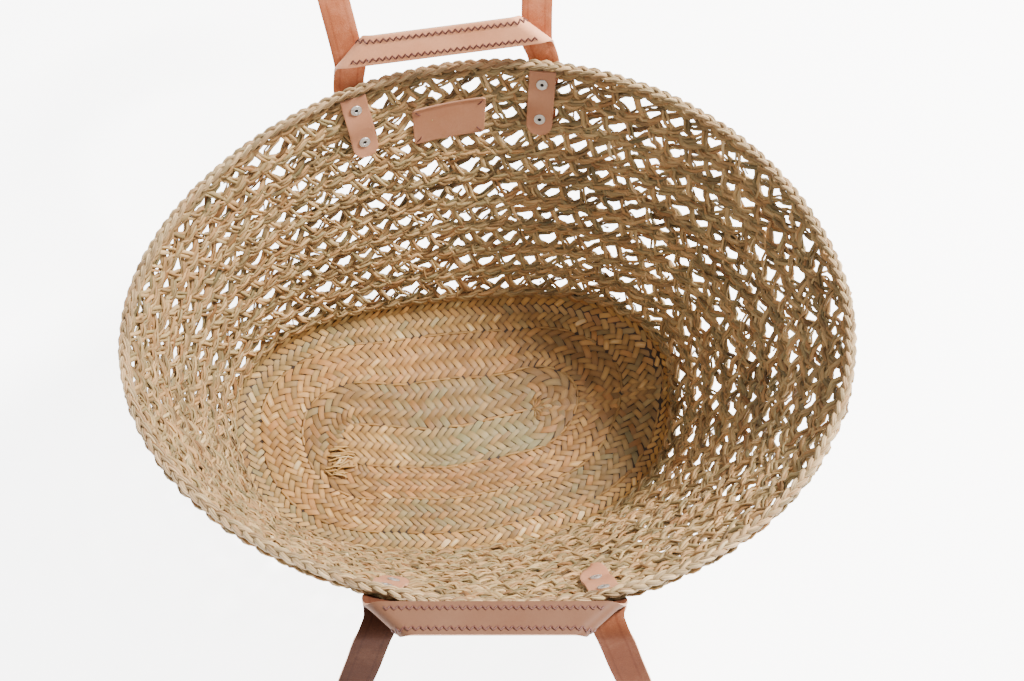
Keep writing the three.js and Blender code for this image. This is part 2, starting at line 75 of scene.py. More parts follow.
# Leather, rivets and label: sizes as their solids have them, with their curls and stitches
HANDLE_CENTRE_X = 19 * MM
HALF_SPACING = 77 * MM
TAB_WIDTH = 22 * MM
TAB_LENGTH = 62 * MM
TAB_THICKNESS = 2 * MM
TAB_TOP_GAP = 2.5 * MM
TAB_SEAT = 0.9 * MM
TAB_BULGE = 1.6 * MM
TAB_CURL = 1.2 * MM
TAB_CURL_MOST = 6 * MM
RIVET_SPACING = 34 * MM
RIVET_TOP = 12 * MM
RIVET_WASHER = 4.8 * MM
RIVET_SHANK = 1.8 * MM
WASHER_THICKNESS = 1 * MM
WASHER_HOLE = 1.5 * MM
STRIP_SEAT = 0.4 * MM
LEATHER_GAP = 0.9 * MM
HANDLE_WIDTH = 26 * MM
HANDLE_THICKNESS = 2.2 * MM
HANDLE_CURL = 5 * MM
STRAP_WIDTH = 25 * MM
STRAP_THICKNESS = 2.4 * MM
STRAP_LOOP = 335 * MM
STRAP_TWIST_FROM = 0.3
SETTLE_LENGTH = 24 * MM
LABEL_WIDTH = 62 * MM
LABEL_HEIGHT = 36 * MM
LABEL_THICKNESS = 1.8 * MM
LABEL_CENTRE_X = 17 * MM
LABEL_DROP = 46 * MM
LABEL_TILT = math.radians(4)
LABEL_CORNER = 3 * MM
LABEL_STITCH = 2 * MM

RIVET_MIDDLE = TAB_TOP_GAP + RIVET_TOP + RIVET_SPACING / 2
TAB_BELOW = TAB_LENGTH + TAB_TOP_GAP - RIVET_MIDDLE
HANDLE_OFFSET = WALL_THICKNESS / 2 + STRIP_SEAT + HANDLE_THICKNESS / 2
STRAP_OFFSET = HANDLE_OFFSET + HANDLE_THICKNESS / 2 + LEATHER_GAP + STRAP_THICKNESS / 2

SIDES = {"far": 1, "near": -1}

# How far each short handle stands above the net's top edge, measured along its leather
HANDLE_STAND = {"far": 40 * MM, "near": 36 * MM}

# Painted light and shade: how much paler or darker each side's leather is painted than the usual, for how the
# light falls on it; a strap's right and left end
HANDLE_PAINTED_LIGHT = {"far": 0.8, "near": -0.65}
STRAP_PAINTED_LIGHT = {"far": (0.38, 0.38), "near": (-0.4, -0.78)}

# A bend of the leather: its straight stretch above the net's top edge, its length and its turn.
HANDLE_BEND = {
    "far": (16 * MM, 12 * MM, math.radians(5)),
    "near": (10 * MM, 16 * MM, math.radians(46)),
}
STRAP_BEND = {
    "far": (6 * MM, 270 * MM, math.radians(112)),
    "near": (4 * MM, 44 * MM, math.radians(134)),
}

# The map along a long strap is drawn for this length. Both straps measure a little less.
STRAP_LENGTH = 900 * MM

# Zigzag stitching: its rows as shares of the handle's width, and how far it runs from the middle
STITCH_ROWS = (0.185, 0.815)
STITCH_REACH = 76 * MM
STITCH_PITCH = 2.6 * MM
STITCH_SWING = 1.6 * MM
STITCH_STEPS = 3
THREAD_SIZE = 0.8 * MM

# Half of a long strap's loop laid flat: shares of half the tab spacing, and of the loop's height.
STRAP_ROUTE = {
    "far": [(1, 0), (1, 0.17), (1.06, 0.32), (1.16, 0.52), (1.18, 0.72), (0.92, 0.9), (0.45, 0.985),
            (0, 1)],
    "near": [(1, 0), (1, 0.14), (1.18, 0.3), (1.42, 0.5), (1.45, 0.7), (1.1, 0.89), (0.52, 0.98),
             (0, 1)],
}

# The camera stands where the photograph was taken from.
CAMERA_TARGET = np.array([53, 13, 153]) * MM
CAMERA_AZIMUTH = math.radians(-5.5)
CAMERA_ELEVATION = math.radians(67)
CAMERA_DISTANCE = 1202 * MM
CAMERA_FOCAL_PIXELS = 1450
PHOTO_WIDTH = 1024
SENSOR_WIDTH = 36


# Sizes, colours and light that a user would change

class BasketPlait(bpy.types.PropertyGroup):
    """The herringbone plait that is coiled into the base."""

    width: bpy.props.FloatProperty(
        name="Plait width", description="Width of one round of the plait",
        default=40 * MM, min=20 * MM, max=80 * MM, unit="LENGTH")
    columns: bpy.props.IntProperty(
        name="Columns", description="Slanted columns of leaf across the plait", default=5, min=3, max=15)
    crown: bpy.props.FloatProperty(
        name="Crown", description="How far a leaf bulges where it passes over the others",
        default=1.25 * MM, min=0, max=3 * MM, unit="LENGTH")
    rise: bpy.props.FloatProperty(
        name="Rise", description="How far the plait runs up the wall above its bend",
        default=13 * MM, min=0, max=40 * MM, unit="LENGTH")


class BasketNet(bpy.types.PropertyGroup):
    """The openwork braid that is wound round into the wall, and the rim's braid."""

    bands: bpy.props.IntProperty(
        name="Bands", description="Rounds of openwork braid between the base and the rim",
        default=9, min=3, max=15)
    strands: bpy.props.IntProperty(
        name="Strands", description="Strands in each round of braid", default=4, min=3, max=6)
    wave: bpy.props.FloatProperty(
        name="Wave", description="Length in which a strand crosses the band and comes back",
        default=76 * MM, min=30 * MM, max=150 * MM, unit="LENGTH")
    overlap: bpy.props.FloatProperty(
        name="Overlap", description="How far neighbouring bands reach into each other",
        default=6.5 * MM, min=0, max=12 * MM, unit="LENGTH")
    strip: bpy.props.FloatProperty(
        name="Strip width", description="Width of one leaf strip; a strand is a bundle of three",
        default=3.8 * MM, min=0.5 * MM, max=6 * MM, unit="LENGTH")
    seed: bpy.props.IntProperty(
        name="Seed", description="Seed of the hand work's unevenness", default=7, min=0)


class BasketColours(bpy.types.PropertyGroup):
    """Colours of the leaf and the leather."""

    leaf_dark: bpy.props.FloatVectorProperty(
        name="Dark leaf", description="Darkest leaf in the wall", subtype="COLOR", size=3,
        default=(0.075, 0.036, 0.010), min=0, max=1)
    leaf_pale: bpy.props.FloatVectorProperty(
        name="Pale leaf", description="Palest leaf in the wall", subtype="COLOR", size=3,
        default=(0.52, 0.33, 0.14), min=0, max=1)
    grain: bpy.props.FloatVectorProperty(
        name="Grain leather", description="Smooth side of the handles and the label", subtype="COLOR",
        size=3, default=(0.42, 0.178, 0.088), min=0, max=1)
    flesh: bpy.props.FloatVectorProperty(
        name="Flesh leather", description="Rough side of the straps and handles", subtype="COLOR",
        size=3, default=(0.26, 0.078, 0.032), min=0, max=1)
    thread: bpy.props.FloatVectorProperty(
        name="Thread", description="Zigzag stitching of the handles", subtype="COLOR", size=3,
        default=(0.03, 0.005, 0.003), min=0, max=1)


class BasketStudio(bpy.types.PropertyGroup):
    """The floor and the soft light."""

    floor: bpy.props.FloatVectorProperty(
        name="Floor", description="Colour of the floor", subtype="COLOR", size=3,
        default=(0.93, 0.93, 0.93), min=0, max=1)
    glow: bpy.props.FloatProperty(
        name="Floor glow", description="Light that the floor gives, as lit paper does", default=5.5, min=0)
    key: bpy.props.FloatProperty(
        name="Key light", description="Power of the light from the right", default=190, min=0)
    fill: bpy.props.FloatProperty(
        name="Fill light", description="Power of the light from above the camera", default=12, min=0)
    sky: bpy.props.FloatProperty(
        name="Surround", description="Strength of the light from all round", default=0.82, min=0)


def settings(group):
    return getattr(bpy.context.scene, group)


# Basket surface, worked out from the outlines

def unit(vectors):
    return vectors / np.linalg.norm(vectors, axis=-1, keepdims=True)


def smooth(value, low, high):
    """A share from 0 at low to 1 at high that starts and ends level."""
    share = np.clip((value - low) / (high - low), 0, 1)
    return share * share * (3 - 2 * share)


def outline(angle, half_length, half_width, squareness, waves):
    """Plan points of a rounded oval whose reach swells and shrinks in a few waves round it."""
    across = np.cos(angle)
    along = np.sin(angle)
    reach = (np.abs(across) ** squareness + np.abs(along) ** squareness) ** (-1 / squareness)
    for turns, cosine, sine in waves:
        reach = reach * (1 + cosine * np.cos(turns * angle) + sine * np.sin(turns * angle))
    return np.stack([half_length * reach * across, half_width * reach * along], axis=-1)


def base_outline(angle):
    return outline(angle, BASE_HALF_LENGTH, BASE_HALF_WIDTH, BASE_SQUARENESS, BASE_WAVES)


def mouth_outline(angle):
    mouth = outline(angle, MOUTH_HALF_LENGTH, MOUTH_HALF_WIDTH, MOUTH_SQUARENESS, MOUTH_WAVES)
    return mouth + MOUTH_SHIFT


def wall_level(angle, share):
    share = np.asarray(share)[..., None]
    return base_outline(angle) * (1 - share) + mouth_outline(angle) * share


def wall_point(angle, share, out=0.0):
    """A point of the wall: share 0 is its foot and 1 its top edge, out is level and outwards."""
    step = 1e-3
    run = unit(wall_level(angle + step, share) - wall_level(angle - step, share))
    normal = np.stack([run[..., 1], -run[..., 0]], axis=-1)
    level = wall_level(angle, share) + normal * np.asarray(out)[..., None]
    height = NET_FOOT + (MOUTH_HEIGHT - NET_FOOT) * np.asarray(share)
    return np.concatenate([level, np.broadcast_to(height, level.shape[:-1])[..., None]], axis=-1)


def slant_length(angle):
    """The wall's height along its slope."""
    return float(np.linalg.norm(wall_point(angle, 0.0) - wall_point(angle, 1.0)))


def wall_axes(angle, share):
    """The wall's unit axes: along it, up it and straight out of it."""
    step = 1e-3
    along = unit(wall_point(angle + step, share) - wall_point(angle - step, share))
    up = unit(wall_point(angle, share + step) - wall_point(angle, share - step))
    out = unit(np.cross(along, up))
    return along, np.cross(out, along), out


def angles_round(share, places):
    """Angles at shares of the way round the wall, evenly spaced, and the way's length."""
    table = np.linspace(0, 2 * np.pi, 2049)
    points = wall_point(table, np.full_like(table, share))
    walked = np.concatenate([[0], np.cumsum(np.linalg.norm(np.diff(points, axis=0), axis=1))])
    whole = np.floor(places)
    angle = np.interp((places - whole) * walked[-1], walked, table)
    return angle + 2 * np.pi * whole, walked[-1]


def wall_place(x, side, drop):
    """The wall's axes at a given x of the far or near side, a drop below its top edge."""
    share = 1.0
    for _ in range(4):
        right, left = 0.0, math.pi * side
        for _ in range(50):
            angle = (right + left) / 2
            if wall_point(angle, share)[0] > x:
                right = angle
            else:
                left = angle
        share = 1 - drop / slant_length(angle)
    along, up, out = wall_axes(angle, share)
    return {"origin": wall_point(angle, share), "along": along, "up": up, "out": out,
            "angle": angle, "share": share}


# Meshes: loose grids that are laid along routes, then welded into tubes and sheets

def grid_copies(name, count, along, across):
    """A mesh of loose grids, with each vertex's grid number and its steps along and across."""
    cell = bmesh.new()
    bmesh.ops.create_grid(cell, x_segments=along, y_segments=across, size=1)
    mesh = bpy.data.meshes.new(name)
    cell.to_mesh(mesh)
    cell.free()
    if count > 1:
        whole = bmesh.new()
        for _ in range(count):
            whole.from_mesh(mesh)
        whole.to_mesh(mesh)
        whole.free()
    row = along + 1
    number, place = np.divmod(np.arange(len(mesh.vertices)), row * (across + 1))
    step_across, step_along = np.divmod(place, row)
    return mesh, number, step_along, step_across


def lay(mesh, points, uv, tone, hue, outwards=True):
    """Puts a mesh's vertices in place, with its map and leaf colours, and welds its seams."""
    mesh.vertices.foreach_set("co", points.ravel())
    corners = np.empty(len(mesh.loops), dtype=np.int32)
    mesh.loops.foreach_get("vertex_index", corners)
    layer = mesh.uv_layers.new(name="leaf")
    layer.data.foreach_set("uv", uv[corners].ravel())
    for name, values in (("tone", tone), ("hue", hue)):
        attribute = mesh.attributes.new(name, "FLOAT", "POINT")
        attribute.data.foreach_set("value", np.ascontiguousarray(values, dtype=np.float32))
    welded = bmesh.new()
    welded.from_mesh(mesh)
    bmesh.ops.remove_doubles(welded, verts=welded.verts, dist=1e-6)
    if outwards:
        bmesh.ops.recalc_face_normals(welded, faces=welded.faces)
    welded.to_mesh(mesh)
    welded.free()
    mesh.shade_smooth()
    return mesh


def strands(name, centre, side, face, half_width, half_height, tone, hue, sides=6):
    """Tubes of oval section along rows of points: one row of (strand, step) arrays to a tube."""
    count, steps = centre.shape[0], centre.shape[1] - 1
    mesh, number, along, around = grid_copies(name, count, steps, sides)
    turn = 2 * np.pi * (around % sides) / sides
    wide = half_width[number, along] * np.cos(turn)
    high = half_height[number, along] * np.sin(turn)
    points = centre[number, along] + side[number, along] * wide[:, None] + face[number, along] * high[:, None]
    walked = np.cumsum(np.linalg.norm(np.diff(centre, axis=1, prepend=centre[:, :1]), axis=2), axis=1)
    girth = 4 * half_width[number, along] * around / sides
    uv = np.stack([walked[number, along] + 0.37 * number, girth + 0.11 * number], axis=-1)
    return lay(mesh, points, uv, tone[number, along], hue[number, along])


def wander(generator, rows, knots, places):
    """Smooth seeded noise from -1 to 1 along closed rows, one row to a strand."""
    values = generator.uniform(-1, 1, (rows, knots))
    spot = np.broadcast_to(places, (rows, np.shape(places)[-1])) * knots
    low = np.floor(spot).astype(int)
    blend = spot - low
    blend = blend * blend * (3 - 2 * blend)
    row = np.arange(rows)[:, None]
    return values[row, low % knots] * (1 - blend) + values[row, (low + 1) % knots] * blend


def add_piece(mesh, materials, slot, *nodes):
    """Makes a piece of a mesh, which rides on the bag and stands for the named nodes."""
    piece = bpy.data.objects.new(mesh.name, mesh)
    bpy.context.scene.collection.objects.link(piece)
    for material in materials:
        mesh.materials.append(material)
    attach(piece, "root")
    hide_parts(*nodes)
    return piece


# Materials

def add_node(tree, kind, inputs=None, **choices):
    node = tree.nodes.new(kind)
    for name, value in choices.items():
        setattr(node, name, value)
    for name, value in (inputs or {}).items():
        if isinstance(value, bpy.types.NodeSocket):
            tree.links.new(value, node.inputs[name])
        else:
            node.inputs[name].default_value = value
    return node


def add_ramp(tree, factor, stops):
    node = add_node(tree, "ShaderNodeValToRGB", {"Fac": factor})
    ramp = node.color_ramp
    while len(ramp.elements) < len(stops):
        ramp.elements.new(0.5)
    for element, (position, colour) in zip(ramp.elements, stops):
        element.position = position
        element.color = (*colour, 1)
    return node.outputs["Color"]


def add_mix(tree, blend, factor, first, second):
    node = add_node(tree, "ShaderNodeMix", {0: factor, 6: first, 7: second},
                    data_type="RGBA", blend_type=blend)
    return node.outputs[2]


def add_math(tree, operation, first, second, third=None, clamp=False):
    inputs = {0: first, 1: second}
    if third is not None:
        inputs[2] = third
    return add_node(tree, "ShaderNodeMath", inputs, operation=operation, use_clamp=clamp).outputs[0]


def shade_by_painted_light(tree, colour):
    """Darkens or lightens a leather colour by the painted light and shade in the piece's own tone."""
    tone = add_node(tree, "ShaderNodeAttribute", attribute_name="tone").outputs["Fac"]
    level = add_math(tree, "ADD", tone, 1.0)
    return add_node(tree, "ShaderNodeVectorMath", {0: colour, 1: level}, operation="MULTIPLY").outputs[0]


def blended(first, second, share):
    return tuple(a + (b - a) * share for a, b in zip(first, second))


def start_material(name):
    """A new material with its tree and shader, or one that is there already, with neither."""
    material = bpy.data.materials.get(name)
    if material:
        return material, None, None
    material = bpy.data.materials.new(name)
    material.use_nodes = True
    tree = material.node_tree
    return material, tree, tree.nodes["Principled BSDF"]


def leaf_material(name, dark, pale, green=(0.185, 0.165, 0.075), red=(0.42, 0.175, 0.05), roughness=0.62):
    """Dry palm leaf: fibres along the strip, a tone and a hue from the mesh, and thin dark flecks."""
    material, tree, shader = start_material(name)
    if tree is None:
        return material
    uv = add_node(tree, "ShaderNodeUVMap", uv_map="leaf").outputs["UV"]
    long_uv = add_node(tree, "ShaderNodeMapping", {"Vector": uv, "Scale": (70, 1900, 1)}).outputs[0]
    fibre = add_node(tree, "ShaderNodeTexNoise", {"Vector": long_uv, "Scale": 1, "Detail": 3}).outputs[0]
    place = add_node(tree, "ShaderNodeTexCoord").outputs["Object"]
    cloud = add_node(tree, "ShaderNodeTexNoise", {"Vector": place, "Scale": 38, "Detail": 2}).outputs[0]
    tone = add_node(tree, "ShaderNodeAttribute", attribute_name="tone").outputs["Fac"]
    hue = add_node(tree, "ShaderNodeAttribute", attribute_name="hue").outputs["Fac"]
    streaks = add_math(tree, "MULTIPLY_ADD", fibre, 0.55, -0.275)
    value = add_math(tree, "ADD", tone, streaks)
    drift = add_math(tree, "MULTIPLY_ADD", cloud, 0.5, -0.25)
    value = add_math(tree, "ADD", value, drift, clamp=True)
    middle = blended(dark, pale, 0.5)
    bleached = blended(pale, (0.85, 0.7, 0.42), 0.4)
    colour = add_ramp(tree, value, [(0.0, dark), (0.5, middle), (0.85, pale), (1.0, bleached)])
    greenness = add_math(tree, "MULTIPLY", hue, -0.8, clamp=True)
    redness = add_math(tree, "MULTIPLY", hue, 0.8, clamp=True)
    colour = add_mix(tree, "MIX", greenness, colour, (*green, 1))
    colour = add_mix(tree, "MIX", redness, colour, (*red, 1))
    tree.links.new(colour, shader.inputs["Base Color"])
    rough = add_node(tree, "ShaderNodeMapRange", {
        "Value": fibre, "To Min": roughness - 0.12, "To Max": roughness + 0.16})
    tree.links.new(rough.outputs[0], shader.inputs["Roughness"])
    bump = add_node(tree, "ShaderNodeBump", {"Height": fibre, "Strength": 0.45, "Distance": 0.0005})
    tree.links.new(bump.outputs[0], shader.inputs["Normal"])
    shader.inputs["Specular IOR Level"].default_value = 0.35
    return material


def grain_material():
    """The smooth side of vegetable-tanned leather: soft clouds of painted shade and painted light, and fine
    creases.
    """
    material, tree, shader = start_material("leather_grain")
    if tree is None:
        return material
    colour = tuple(settings("basket_colours").grain)
    place = add_node(tree, "ShaderNodeTexCoord").outputs["Object"]
    cloud = add_node(tree, "ShaderNodeTexNoise", {"Vector": place, "Scale": 26, "Detail": 4}).outputs[0]
    pores = add_node(tree, "ShaderNodeTexVoronoi", {"Vector": place, "Scale": 1900}).outputs["Distance"]
    crease = add_node(tree, "ShaderNodeTexNoise", {"Vector": place, "Scale": 420, "Detail": 5}).outputs[0]
    # Clouds of painted shade and painted light on the grain
    painted_shade = blended(colour, (0.30, 0.11, 0.06), 0.22)
    worn_and_painted_light = blended(colour, (0.75, 0.45, 0.3), 0.15)
    base = add_ramp(tree, cloud, [(0.3, painted_shade), (0.7, worn_and_painted_light)])
    base = add_mix(tree, "MULTIPLY", 0.18, base, crease)
    tree.links.new(shade_by_painted_light(tree, base), shader.inputs["Base Color"])
    rough = add_node(tree, "ShaderNodeMapRange", {"Value": crease, "To Min": 0.52, "To Max": 0.74})
    tree.links.new(rough.outputs[0], shader.inputs["Roughness"])
    shader.inputs["Specular IOR Level"].default_value = 0.22
    height = add_math(tree, "ADD", pores, crease)
    bump = add_node(tree, "ShaderNodeBump", {"Height": height, "Strength": 0.25, "Distance": 0.0003})
    tree.links.new(bump.outputs[0], shader.inputs["Normal"])
    return material


def flesh_material():
    """The rough side: darker, napped, with the faint lines of the stitching on its other side."""
    material, tree, shader = start_material("leather_flesh")
    if tree is None:
        return material
    colour = tuple(settings("basket_colours").flesh)
    uv = add_node(tree, "ShaderNodeUVMap", uv_map="leaf").outputs["UV"]
    place = add_node(tree, "ShaderNodeTexCoord").outputs["Object"]
    cloud = add_node(tree, "ShaderNodeTexNoise", {
        "Vector": place, "Scale": 34, "Detail": 5, "Roughness": 0.65}).outputs[0]
    nap = add_node(tree, "ShaderNodeTexNoise", {
        "Vector": place, "Scale": 900, "Detail": 6, "Roughness": 0.7}).outputs[0]
    # Clouds of painted shade, the plain colour and paler worn patches
    painted_shade = blended(colour, (0.12, 0.04, 0.02), 0.3)
    worn_and_painted_light = blended(colour, (0.6, 0.27, 0.15), 0.35)
    base = add_ramp(tree, cloud, [(0.28, painted_shade), (0.5, colour), (0.75, worn_and_painted_light)])
    nap_colour = add_ramp(tree, nap, [(0.3, (0.62, 0.58, 0.56)), (0.7, (1.0, 1.0, 1.0))])
    base = add_mix(tree, "MULTIPLY", 0.7, base, nap_colour)
    across = add_node(tree, "ShaderNodeSeparateXYZ", {"Vector": uv}).outputs["Y"]
    for line in (0.2, 0.76):
        beside = add_math(tree, "SUBTRACT", across, line)
        away = add_math(tree, "ABSOLUTE", beside, 0)
        mark = add_node(tree, "ShaderNodeMapRange", {
            "Value": away, "From Min": 0.015, "From Max": 0.05, "To Min": 0.35, "To Max": 0.0})
        base = add_mix(tree, "MULTIPLY", mark.outputs[0], base, (0.55, 0.42, 0.38, 1))
    tree.links.new(shade_by_painted_light(tree, base), shader.inputs["Base Color"])
    shader.inputs["Roughness"].default_value = 0.88
    shader.inputs["Specular IOR Level"].default_value = 0.15
    bump = add_node(tree, "ShaderNodeBump", {"Height": nap, "Strength": 0.6, "Distance": 0.0006})
    tree.links.new(bump.outputs[0], shader.inputs["Normal"])
    return material


def edge_material():
    """The cut edge of the leather: paler, with the layers showing as fine lines."""
    material, tree, shader = start_material("leather_edge")
    if tree is None:
        return material
    colour = blended(tuple(settings("basket_colours").grain), (0.7, 0.42, 0.28), 0.4)
    place = add_node(tree, "ShaderNodeTexCoord").outputs["Object"]
    fibres = add_node(tree, "ShaderNodeTexNoise", {"Vector": place, "Scale": 700, "Detail": 4}).outputs[0]
    base = add_ramp(tree, fibres, [(0.3, blended(colour, (0.3, 0.14, 0.08), 0.4)), (0.65, colour)])
    tree.links.new(base, shader.inputs["Base Color"])
    shader.inputs["Roughness"].default_value = 0.7
    bump = add_node(tree, "ShaderNodeBump", {"Height": fibres, "Strength": 0.4, "Distance": 0.0003})
    tree.links.new(bump.outputs[0], shader.inputs["Normal"])
    return material


def thread_material():
    """Dark waxed thread, its twist as fine slanted lines: painted shade in the grooves, paler worn plies
    between.
    """
    material, tree, shader = start_material("thread")
    if tree is None:
        return material
    colour = tuple(settings("basket_colours").thread)
    uv = add_node(tree, "ShaderNodeUVMap", uv_map="leaf").outputs["UV"]
    twist = add_node(tree, "ShaderNodeTexWave", {"Vector": uv, "Scale": 500, "Distortion": 1},
                     bands_direction="DIAGONAL").outputs["Fac"]
    # The twist's grooves get painted shade, its plies a paler worn colour
    painted_shade = blended(colour, (0, 0, 0), 0.3)
    worn = blended(colour, (0.4, 0.12, 0.07), 0.35)
    base = add_ramp(tree, twist, [(0.2, painted_shade), (0.8, worn)])
    tree.links.new(base, shader.inputs["Base Color"])
    shader.inputs["Roughness"].default_value = 0.6
    return material


def steel_material(name="rivet_steel", painted_shading=1.0):
    """Satin steel with dull spots; the bore is the same metal painted near black, as painted shade in the
    hole.
    """
    material, tree, shader = start_material(name)
    if tree is None:
        return material
    place = add_node(tree, "ShaderNodeTexCoord").outputs["Object"]
    spots = add_node(tree, "ShaderNodeTexNoise", {"Vector": place, "Scale": 600, "Detail": 3}).outputs[0]
    # Both colours are scaled down for the bore's copy, which is painted near black as shade
    dull = tuple(channel * painted_shading for channel in (0.42, 0.41, 0.39))
    bright = tuple(channel * painted_shading for channel in (0.72, 0.71, 0.69))
    base = add_ramp(tree, spots, [(0.3, dull), (0.7, bright)])
    tree.links.new(base, shader.inputs["Base Color"])
    rough = add_node(tree, "ShaderNodeMapRange", {"Value": spots, "To Min": 0.25, "To Max": 0.5})
    tree.links.new(rough.outputs[0], shader.inputs["Roughness"])
    shader.inputs["Metallic"].default_value = 1
    return material


# Plaited base

# The plan oval: a run between two half rounds. It is laid over the base and up its bent edge.
COIL_HALF_RUN = 78 * MM
COIL_HALF_WIDTH = 140 * MM
COIL_SHIFT = np.array([-14, -28]) * MM
COIL_HALF_TURNS = 7

# Where along the plait, in millimetres, each new round starts: past the right end of the oval
ROUND_STARTS = [207, 770, 1585, 2651]

# Distance along the plait in millimetres from its start, and how much paler and redder the leaf is
# there; below zero it is darker and greener
ROUND_COLOURS = [
    (0, 0.12, -0.05), (50, 0.1, -0.1), (90, -0.3, -0.75), (176, -0.38, -0.9), (196, -0.22, -0.05),
    (255, -0.4, -0.2), (400, -0.34, -0.15), (520, -0.24, -0.02), (560, -0.19, 0.24),
    (680, -0.2, 0.26), (860, -0.23, 0.1), (900, -0.18, 0.22), (1020, -0.08, 0.25),
    (1270, 0.03, 0.18), (1300, -0.16, -0.3), (1430, -0.18, -0.3), (1740, -0.06, 0.05),
    (1780, 0.02, -0.24), (2275, 0.06, -0.24), (2330, 0.1, -0.12), (2430, 0.06, -0.1),
    (2871, -0.04, 0.0),
]
ROUND_ALONG = np.array([along for along, _, _ in ROUND_COLOURS]) * MM
ROUND_TONE = np.array([tone for _, tone, _ in ROUND_COLOURS])
ROUND_HUE = np.array([hue for _, _, hue in ROUND_COLOURS])

# How far a leaf length laps under its neighbours, and how much of its own room it fills across
FLOAT_LAP = 1.12
FLOAT_FILL = 0.92

# Spacing of the strips along the plait's joints, and where the frayed start lies in plan
SEAM_PITCH = 11 * MM
START_PLACE = np.array([-116, -26]) * MM


def coil_length():
    """Length of the whole plait along its middle line."""
    plait = settings("basket_plait")
    return sum(length for *_, length in coil_pieces(plait))


def coil_pieces(plait):
    """The plait's middle line from the middle outwards: straight runs and half turns in a plan oval."""
    half_run = COIL_HALF_RUN
    start = -half_run - plait.width / 2 - 4 * MM
    pieces = [("run", start, 0.0, 1, half_run - start)]
    for number in range(COIL_HALF_TURNS):
        radius = plait.width * (number + 1) / 2
        right = number % 2 == 0
        x = half_run if right else -half_run
        y = plait.width / 2 if right else 0.0
        pieces.append(("turn", x, y, -90 if right else 90, math.pi * radius))
        pieces.append(("run", x, y + radius if right else y - radius, -1 if right else 1, 2 * half_run))
    return pieces


def coil_plan(plait, along, beside):
    """Plan points of the plait, from the distance along its middle line and to its inner side."""
    plan = np.zeros(along.shape + (2,))
    walked = 0.0
    for kind, x, y, way, length in coil_pieces(plait):
        here = (along >= walked) & (along < walked + length)
        gone = along[here] - walked
        aside = beside[here]
        if kind == "run":
            plan[here] = np.stack([x + way * gone, y + way * aside], axis=-1)
        else:
            radius = length / math.pi
            turn = math.radians(way) + gone / radius
            reach = radius - aside
            plan[here] = np.stack([x + reach * np.cos(turn), y + reach * np.sin(turn)], axis=-1)
        walked += length
    return plan


def plan_share(plan):
    """How far out a plan point lies, as a share of the plan oval's reach that way, and its bearing."""
    away = np.linalg.norm(plan, axis=-1)
    bearing = np.arctan2(plan[..., 1], plan[..., 0])
    across = np.abs(np.cos(bearing))
    up = np.maximum(np.abs(np.sin(bearing)), 1e-9)
    flat = COIL_HALF_WIDTH / up
    round_end = COIL_HALF_RUN * across + np.sqrt(
        np.maximum(COIL_HALF_WIDTH ** 2 - (COIL_HALF_RUN * up) ** 2, 0))
    reach = np.where(flat * across <= COIL_HALF_RUN, flat, round_end)
    return away / reach, bearing


def base_surface(plan, height):
    """Plan points laid on the base: flat, then round the bend and up the wall's foot."""
    share, bearing = plan_share(plan)
    angle = np.arctan2(np.sin(bearing) / BASE_HALF_WIDTH, np.cos(bearing) / BASE_HALF_LENGTH)
    edge = np.linalg.norm(base_outline(angle), axis=-1)
    way = np.stack([np.cos(bearing), np.sin(bearing)], axis=-1)
    lean = np.arctan2(
        np.sum(mouth_outline(angle) * way, axis=-1) - edge, MOUTH_HEIGHT - NET_FOOT)
    bend = EDGE_RISE - BASE_THICKNESS / 2
    flat = edge - bend
    last = np.pi / 2 - lean
    total = flat + bend * last + settings("basket_plait").rise
    walked = share * total
    turn = np.clip((walked - flat) / bend, 0, last)
    beyond = np.maximum(walked - flat - bend * last, 0)
    out = np.minimum(walked, flat) + bend * np.sin(turn) + beyond * np.cos(turn)
    up = BASE_THICKNESS / 2 + bend * (1 - np.cos(turn)) + beyond * np.sin(turn)
    out = out - height * np.sin(turn)
    up = up + height * np.cos(turn)
    level = way * out[..., None] + COIL_SHIFT * (np.clip(1 - share, 0, 1) ** 1.5)[..., None]
    return np.concatenate([level, up[..., None]], axis=-1)


def float_places(columns, rows, pitch):
    """Column, row and round of each leaf length, with a few more where one round meets the next."""
    starts = np.array(ROUND_STARTS) * MM
    column, row = np.meshgrid(np.arange(columns), np.arange(rows), indexing="ij")
    turns = np.searchsorted(starts, (row + 0.5) * pitch)
    joins = np.floor(starts[:, None] / pitch + np.array([[-0.5, 0.5]])).astype(int)
    join_column, join_row = np.meshgrid(np.arange(columns), joins.ravel(), indexing="ij")
    beside = np.arange(len(starts))[:, None] + np.array([[1, 0]])
    join_turns = np.broadcast_to(beside.ravel(), join_row.shape)
    pairs = (column, join_column), (row, join_row), (turns, join_turns)
    return [np.concatenate([all_over.ravel(), joined.ravel()]) for all_over, joined in pairs]


